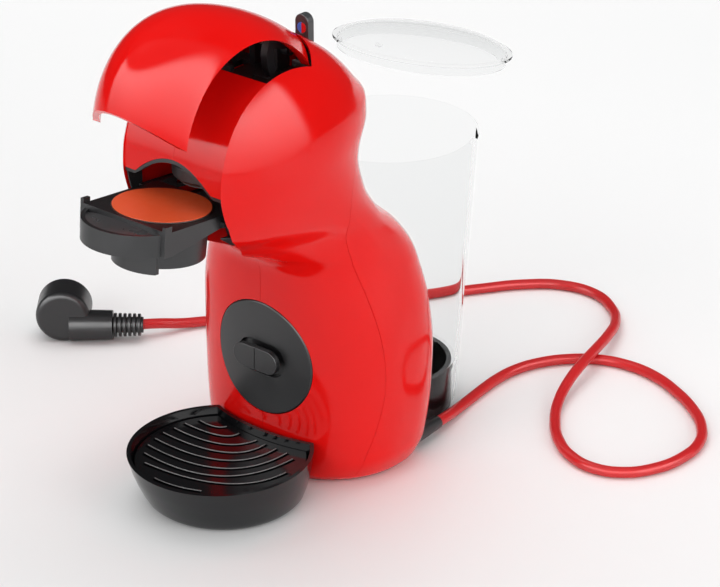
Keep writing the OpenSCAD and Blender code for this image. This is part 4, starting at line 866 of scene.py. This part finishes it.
def grid_lips():
    """Raised bead along the far side of every slot, coloured light grey as a painted highlight."""
    points, edges = [], []
    for s in SLOTS:
        line = slot_side(s, BEAD_OFF)
        edges += [(len(points) + i, len(points) + i + 1) for i in range(len(line) - 1)]
        points += [(x * MM, y * MM, (GRID_Z + BEAD_RISE) * MM) for x, y in line]
    mesh = bpy.data.meshes.new("grid_lips")
    mesh.from_pydata(points, edges, [])
    lips = bpy.data.objects.new("grid_lips", mesh)
    bpy.context.scene.collection.objects.link(lips)
    group = lip_nodes()
    sweep = lips.modifiers.new("beads", "NODES")
    sweep.node_group = group
    ids = {item.name: item.identifier for item in group.interface.items_tree if item.in_out == "INPUT"}
    sweep[ids["Bead Radius"]] = BEAD_R * MM
    # The beads' light grey finish is a painted highlight.
    sweep[ids["Finish"]] = FINISH["grid_lip"]
    bake(lips)
    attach(lips, BODY_OF["drip_grid"])


grid_lips()

# ---------------------------------------------------------------- water tank and lid

TANK_TOP, TANK_BOTTOM, TANK_FLOOR, TANK_WALL = 176.3, 2.6, 31, 1.8
TANK_RIM, FLOOR_THICK = 3, 2.2


def tank_r(z):
    """Outside radius of the tank at a height."""
    return TANK_R0 + TANK_TAPER * z


def water_tank():
    """Tapered clear jug: beaded rim, raised floor, valve hole and a notch for the seat's neck."""
    rim_out, bead_out = 1, 0.6
    notch_half, notch_top, valve_ahead, valve_r = 9.2, 27.2, 14, 5
    straight = TANK_TOP - TANK_RIM - TANK_BOTTOM
    out = [(tank_r(z), z) for z in [TANK_BOTTOM + straight * i / 12 for i in range(13)]]
    profile = out + [
        (tank_r(TANK_TOP - TANK_RIM) + rim_out, TANK_TOP - 2), (tank_r(TANK_TOP) + bead_out, TANK_TOP),
        (tank_r(TANK_TOP) - TANK_WALL, TANK_TOP), (tank_r(TANK_FLOOR) - TANK_WALL, TANK_FLOOR),
        (0, TANK_FLOOR), (0, TANK_FLOOR - FLOOR_THICK),
        (tank_r(TANK_FLOOR) - TANK_WALL, TANK_FLOOR - FLOOR_THICK),
        (tank_r(TANK_BOTTOM) - TANK_WALL, TANK_BOTTOM)]
    n = len(out)
    profile = rounded(profile, {0: 0.5, n: 0.7, n + 1: 0.7, n + 2: 0.6, n + 3: 1.5, n + 6: 0.8, n + 7: 0.5})
    tank = turned_solid("water_tank_piece", profile, TANK_Y, 160)
    carve(tank, block("neck_notch", (-notch_half, 0, 0), (notch_half, 30, notch_top)))
    return carve(tank, prism_z("valve_hole", circle(0, TANK_Y - valve_ahead, valve_r, 48), 20, 50))


dress(shade(water_tank(), 40), "water_tank")

LID_R, LID_Y, LID_Z, LID_TILT = 52.3, 89.1, 217.7, 10.5


def tank_lid():
    """Domed clear lid with a flange, a skirt and a small knob, taken off and held above the tank."""
    gap, flange, dome, dome_wall = 0.5, 1.8, 8, 1.6
    skirt_low, skirt_wall = -5, 1.4
    knob_in, knob_r, knob_low, knob_high = 8, 2, 2, 4.2
    skirt = tank_r(TANK_TOP) - TANK_WALL - gap

    def arc(drop):
        """Line of the dome from its top to its edge."""
        turns = [math.pi / 2 * i / 20 for i in range(21)]
        return [((skirt - 1) * math.sin(a), flange + dome * math.cos(a) - drop) for a in turns]

    top = arc(0)
    edge = [(LID_R, flange), (LID_R, 0), (skirt, 0), (skirt, skirt_low), (skirt - skirt_wall, skirt_low)]
    profile = top + edge + arc(dome_wall)[:-1][::-1]
    n = len(top)
    profile = rounded(profile, {n: 0.7, n + 1: 0.7, n + 2: 0.5, n + 3: 0.5, n + 4: 0.5})
    lid = turned_solid("tank_lid_piece", profile, 0, 160)
    knob = circle(0, knob_in - skirt, knob_r, 32)
    carve(lid, prism_z("knob", knob, flange + knob_low, flange + knob_high), "UNION")
    turn = Matrix.Translation((0, LID_Y, LID_Z)) @ Matrix.Rotation(math.radians(-LID_TILT), 4, "X")
    return placed(lid, turn)


dress(shade(tank_lid(), 40), "tank_lid")

# ---------------------------------------------------------------- moulded small pieces

# Edge radius of each piece that keeps its node's own shape.
ROUNDING = {
    "button_frame": 0.7, "power_button": 0.8, "selector_lever": 0.7, "lever_mark_cold": 0.05,
    "lever_mark_hot": 0.05, "capsule_holder": 0.45, "holder_cup": 0.4, "pod_cup": 0.2, "pod_lid": 0.15,
    "tray_hook": 1.0, "tank_seat": 0.6, "tank_valve": 0.3, "brew_head": 0.5, "hood_frame": 0.3,
    "head_frame": 0.3, "mouth_frame": 0.3, "holder_guide": 0.3, "plug_body": 0.8, "plug_relief": 0.3,
    "plug_pins": 0.3, "plug_earth": 0.2, "cord_relief": 0.4, "rubber_feet": 0.6, "base_plate": 0.4}
small = {node: dress(soften(merged_copy(node), size, 3, 30), node) for node, size in ROUNDING.items()}
for node, thing in NODES.items():
    paint(thing, SLOT_OF[node])


def grip_dish():
    """Shallow thumb dish between the grip's band and the holder's front wall, in a lighter black that is a
    painted sheen.
    """
    half, band_y, band_r, wall_y = 25.2, -19, 27.2, -27.4
    top_z, hollow, rise, low_z = -2.5, 6.4, 0.9, -9
    rings = []
    for i in range(49):
        x = -half + 2 * half * i / 48
        outer = band_y - math.sqrt(band_r ** 2 - x * x)
        top = []
        for k in range(13):
            u = k / 12
            top.append((x, outer + (wall_y - outer) * u, top_z - hollow * u * (1 - u) + rise * u * u))
        rings.append(top + [(x, wall_y, low_z), (x, outer, low_z)])
    dish = placed(ring_stack("grip_dish", rings), HOLDER_AT)
    # Painted sheen: the dish gets a lighter black than the rest of the holder.
    paint(dish, "grip_painted_sheen")
    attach(shade(dish, 40), BODY_OF["capsule_holder"])


grip_dish()

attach(cord, BODY_OF["cord"])
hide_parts("cord")

# ---------------------------------------------------------------- floor and light


def floor():
    """Pale floor with painted shade, greyer towards the front, which fades to white far from the machine."""
    half, depth = 3000, 20
    ground = block("floor", (-half, -half, -depth), (half, half, 0))
    finish, tree, surface, spot = shader("studio_floor")
    lie = tree.nodes.new("ShaderNodeSeparateXYZ")
    tree.links.new(spot, lie.inputs["Vector"])
    # Painted shade: the floor's colour darkens from pale grey behind to a deeper grey towards the front.
    tone = tree.nodes.new("ShaderNodeValToRGB")
    tone.color_ramp.elements[0].color = (0.74, 0.74, 0.74, 1)
    tone.color_ramp.elements[1].color = (0.95, 0.95, 0.95, 1)
    tree.links.new(spread(tree, lie.outputs["Y"], 0, 1, -0.45, 0.5), tone.inputs["Fac"])
    tree.links.new(tone.outputs["Color"], surface.inputs["Base Color"])
    surface.inputs["Roughness"].default_value = 0.6
    reach = tree.nodes.new("ShaderNodeVectorMath")
    reach.operation = "LENGTH"
    tree.links.new(spot, reach.inputs[0])
    path = tree.nodes.new("ShaderNodeLightPath")
    seen = combined(tree, "ADD", path.outputs["Is Camera Ray"], path.outputs["Is Transmission Ray"])
    far = combined(tree, "MULTIPLY", spread(tree, reach.outputs["Value"], 0, 1, 0.3, 1.1), seen)
    white = tree.nodes.new("ShaderNodeEmission")
    fade = tree.nodes.new("ShaderNodeMixShader")
    tree.links.new(far, fade.inputs["Fac"])
    tree.links.new(surface.outputs["BSDF"], fade.inputs[1])
    tree.links.new(white.outputs["Emission"], fade.inputs[2])
    tree.links.new(fade.outputs["Shader"], tree.nodes["Material Output"].inputs["Surface"])
    ground.data.materials.append(finish)


def softbox(name, place, target, size, watts):
    """Soft lamp turned to its target and kept out of reflections."""
    lamp = bpy.data.lights.new(name, "AREA")
    lamp.shape = "RECTANGLE"
    lamp.size, lamp.size_y = size
    lamp.energy = watts
    box = bpy.data.objects.new(name, lamp)
    bpy.context.scene.collection.objects.link(box)
    place, target = Vector(place), Vector(target)
    box.location = place
    box.visible_glossy = False
    box.rotation_euler = (target - place).to_track_quat("-Z", "Y").to_euler()


def studio_glow(tree):
    """Level of the surroundings: white to the eye, a soft fill, and one broad panel in reflections."""
    white, fill, dim, bright, through = 1.0, 0.58, 0.05, 8.0, 0.9
    path = tree.nodes.new("ShaderNodeLightPath")
    spot = tree.nodes.new("ShaderNodeTexCoord")
    towards = tree.nodes.new("ShaderNodeVectorMath")
    towards.operation = "DOT_PRODUCT"
    towards.inputs[1].default_value = (math.sin(AZIMUTH), -math.cos(AZIMUTH), 0)
    height = tree.nodes.new("ShaderNodeSeparateXYZ")
    tree.links.new(spot.outputs["Generated"], towards.inputs[0])
    tree.links.new(spot.outputs["Generated"], height.inputs["Vector"])
    side = spread(tree, towards.outputs["Value"], 0, 1, -0.06, 0.06)
    fade = spread(tree, height.outputs["Z"], 0.25, 1.0, -0.05, 0.55)
    top = spread(tree, height.outputs["Z"], 1.0, 0.06, 0.66, 0.74)

    def choose(when, otherwise, chosen):
        """The first level where the ray's kind is 0 and the second where it is 1."""
        pick = tree.nodes.new("ShaderNodeMapRange")
        tree.links.new(when, pick.inputs["Value"])
        for socket, level in (("To Min", otherwise), ("To Max", chosen)):
            if isinstance(level, float):
                pick.inputs[socket].default_value = level
            else:
                tree.links.new(level, pick.inputs[socket])
        return pick.outputs["Result"]

    lit = combined(tree, "MULTIPLY", combined(tree, "MULTIPLY", side, fade), top)
    panel = choose(lit, dim, bright)
    reflected = choose(path.outputs["Transmission Depth"], panel, through)
    seen = choose(path.outputs["Is Glossy Ray"], fill, reflected)
    seen = choose(path.outputs["Is Transmission Ray"], seen, white)
    return choose(path.outputs["Is Camera Ray"], seen, white)


def studio():
    """Floor, three soft lamps and the pale surroundings."""
    floor()
    softbox("softbox_over", (-0.3, 0.1, 1.5), (0, 0, 0.1), (1.4, 1.4), 11)
    softbox("softbox_right", (1.5, 0.1, 0.6), (0, 0, 0.12), (0.8, 1.2), 7)
    softbox("softbox_front", (0.2, -1.7, 0.9), (0, 0, 0.12), (1.2, 0.9), 10)
    world = bpy.data.worlds.new("studio_world")
    world.use_nodes = True
    tree = world.node_tree
    sky = tree.nodes["Background"]
    tree.links.new(studio_glow(tree), sky.inputs["Strength"])
    sky.inputs["Color"].default_value = (1, 1, 1, 1)
    bpy.context.scene.world = world
    bpy.context.scene.view_settings.view_transform = "Standard"


studio()
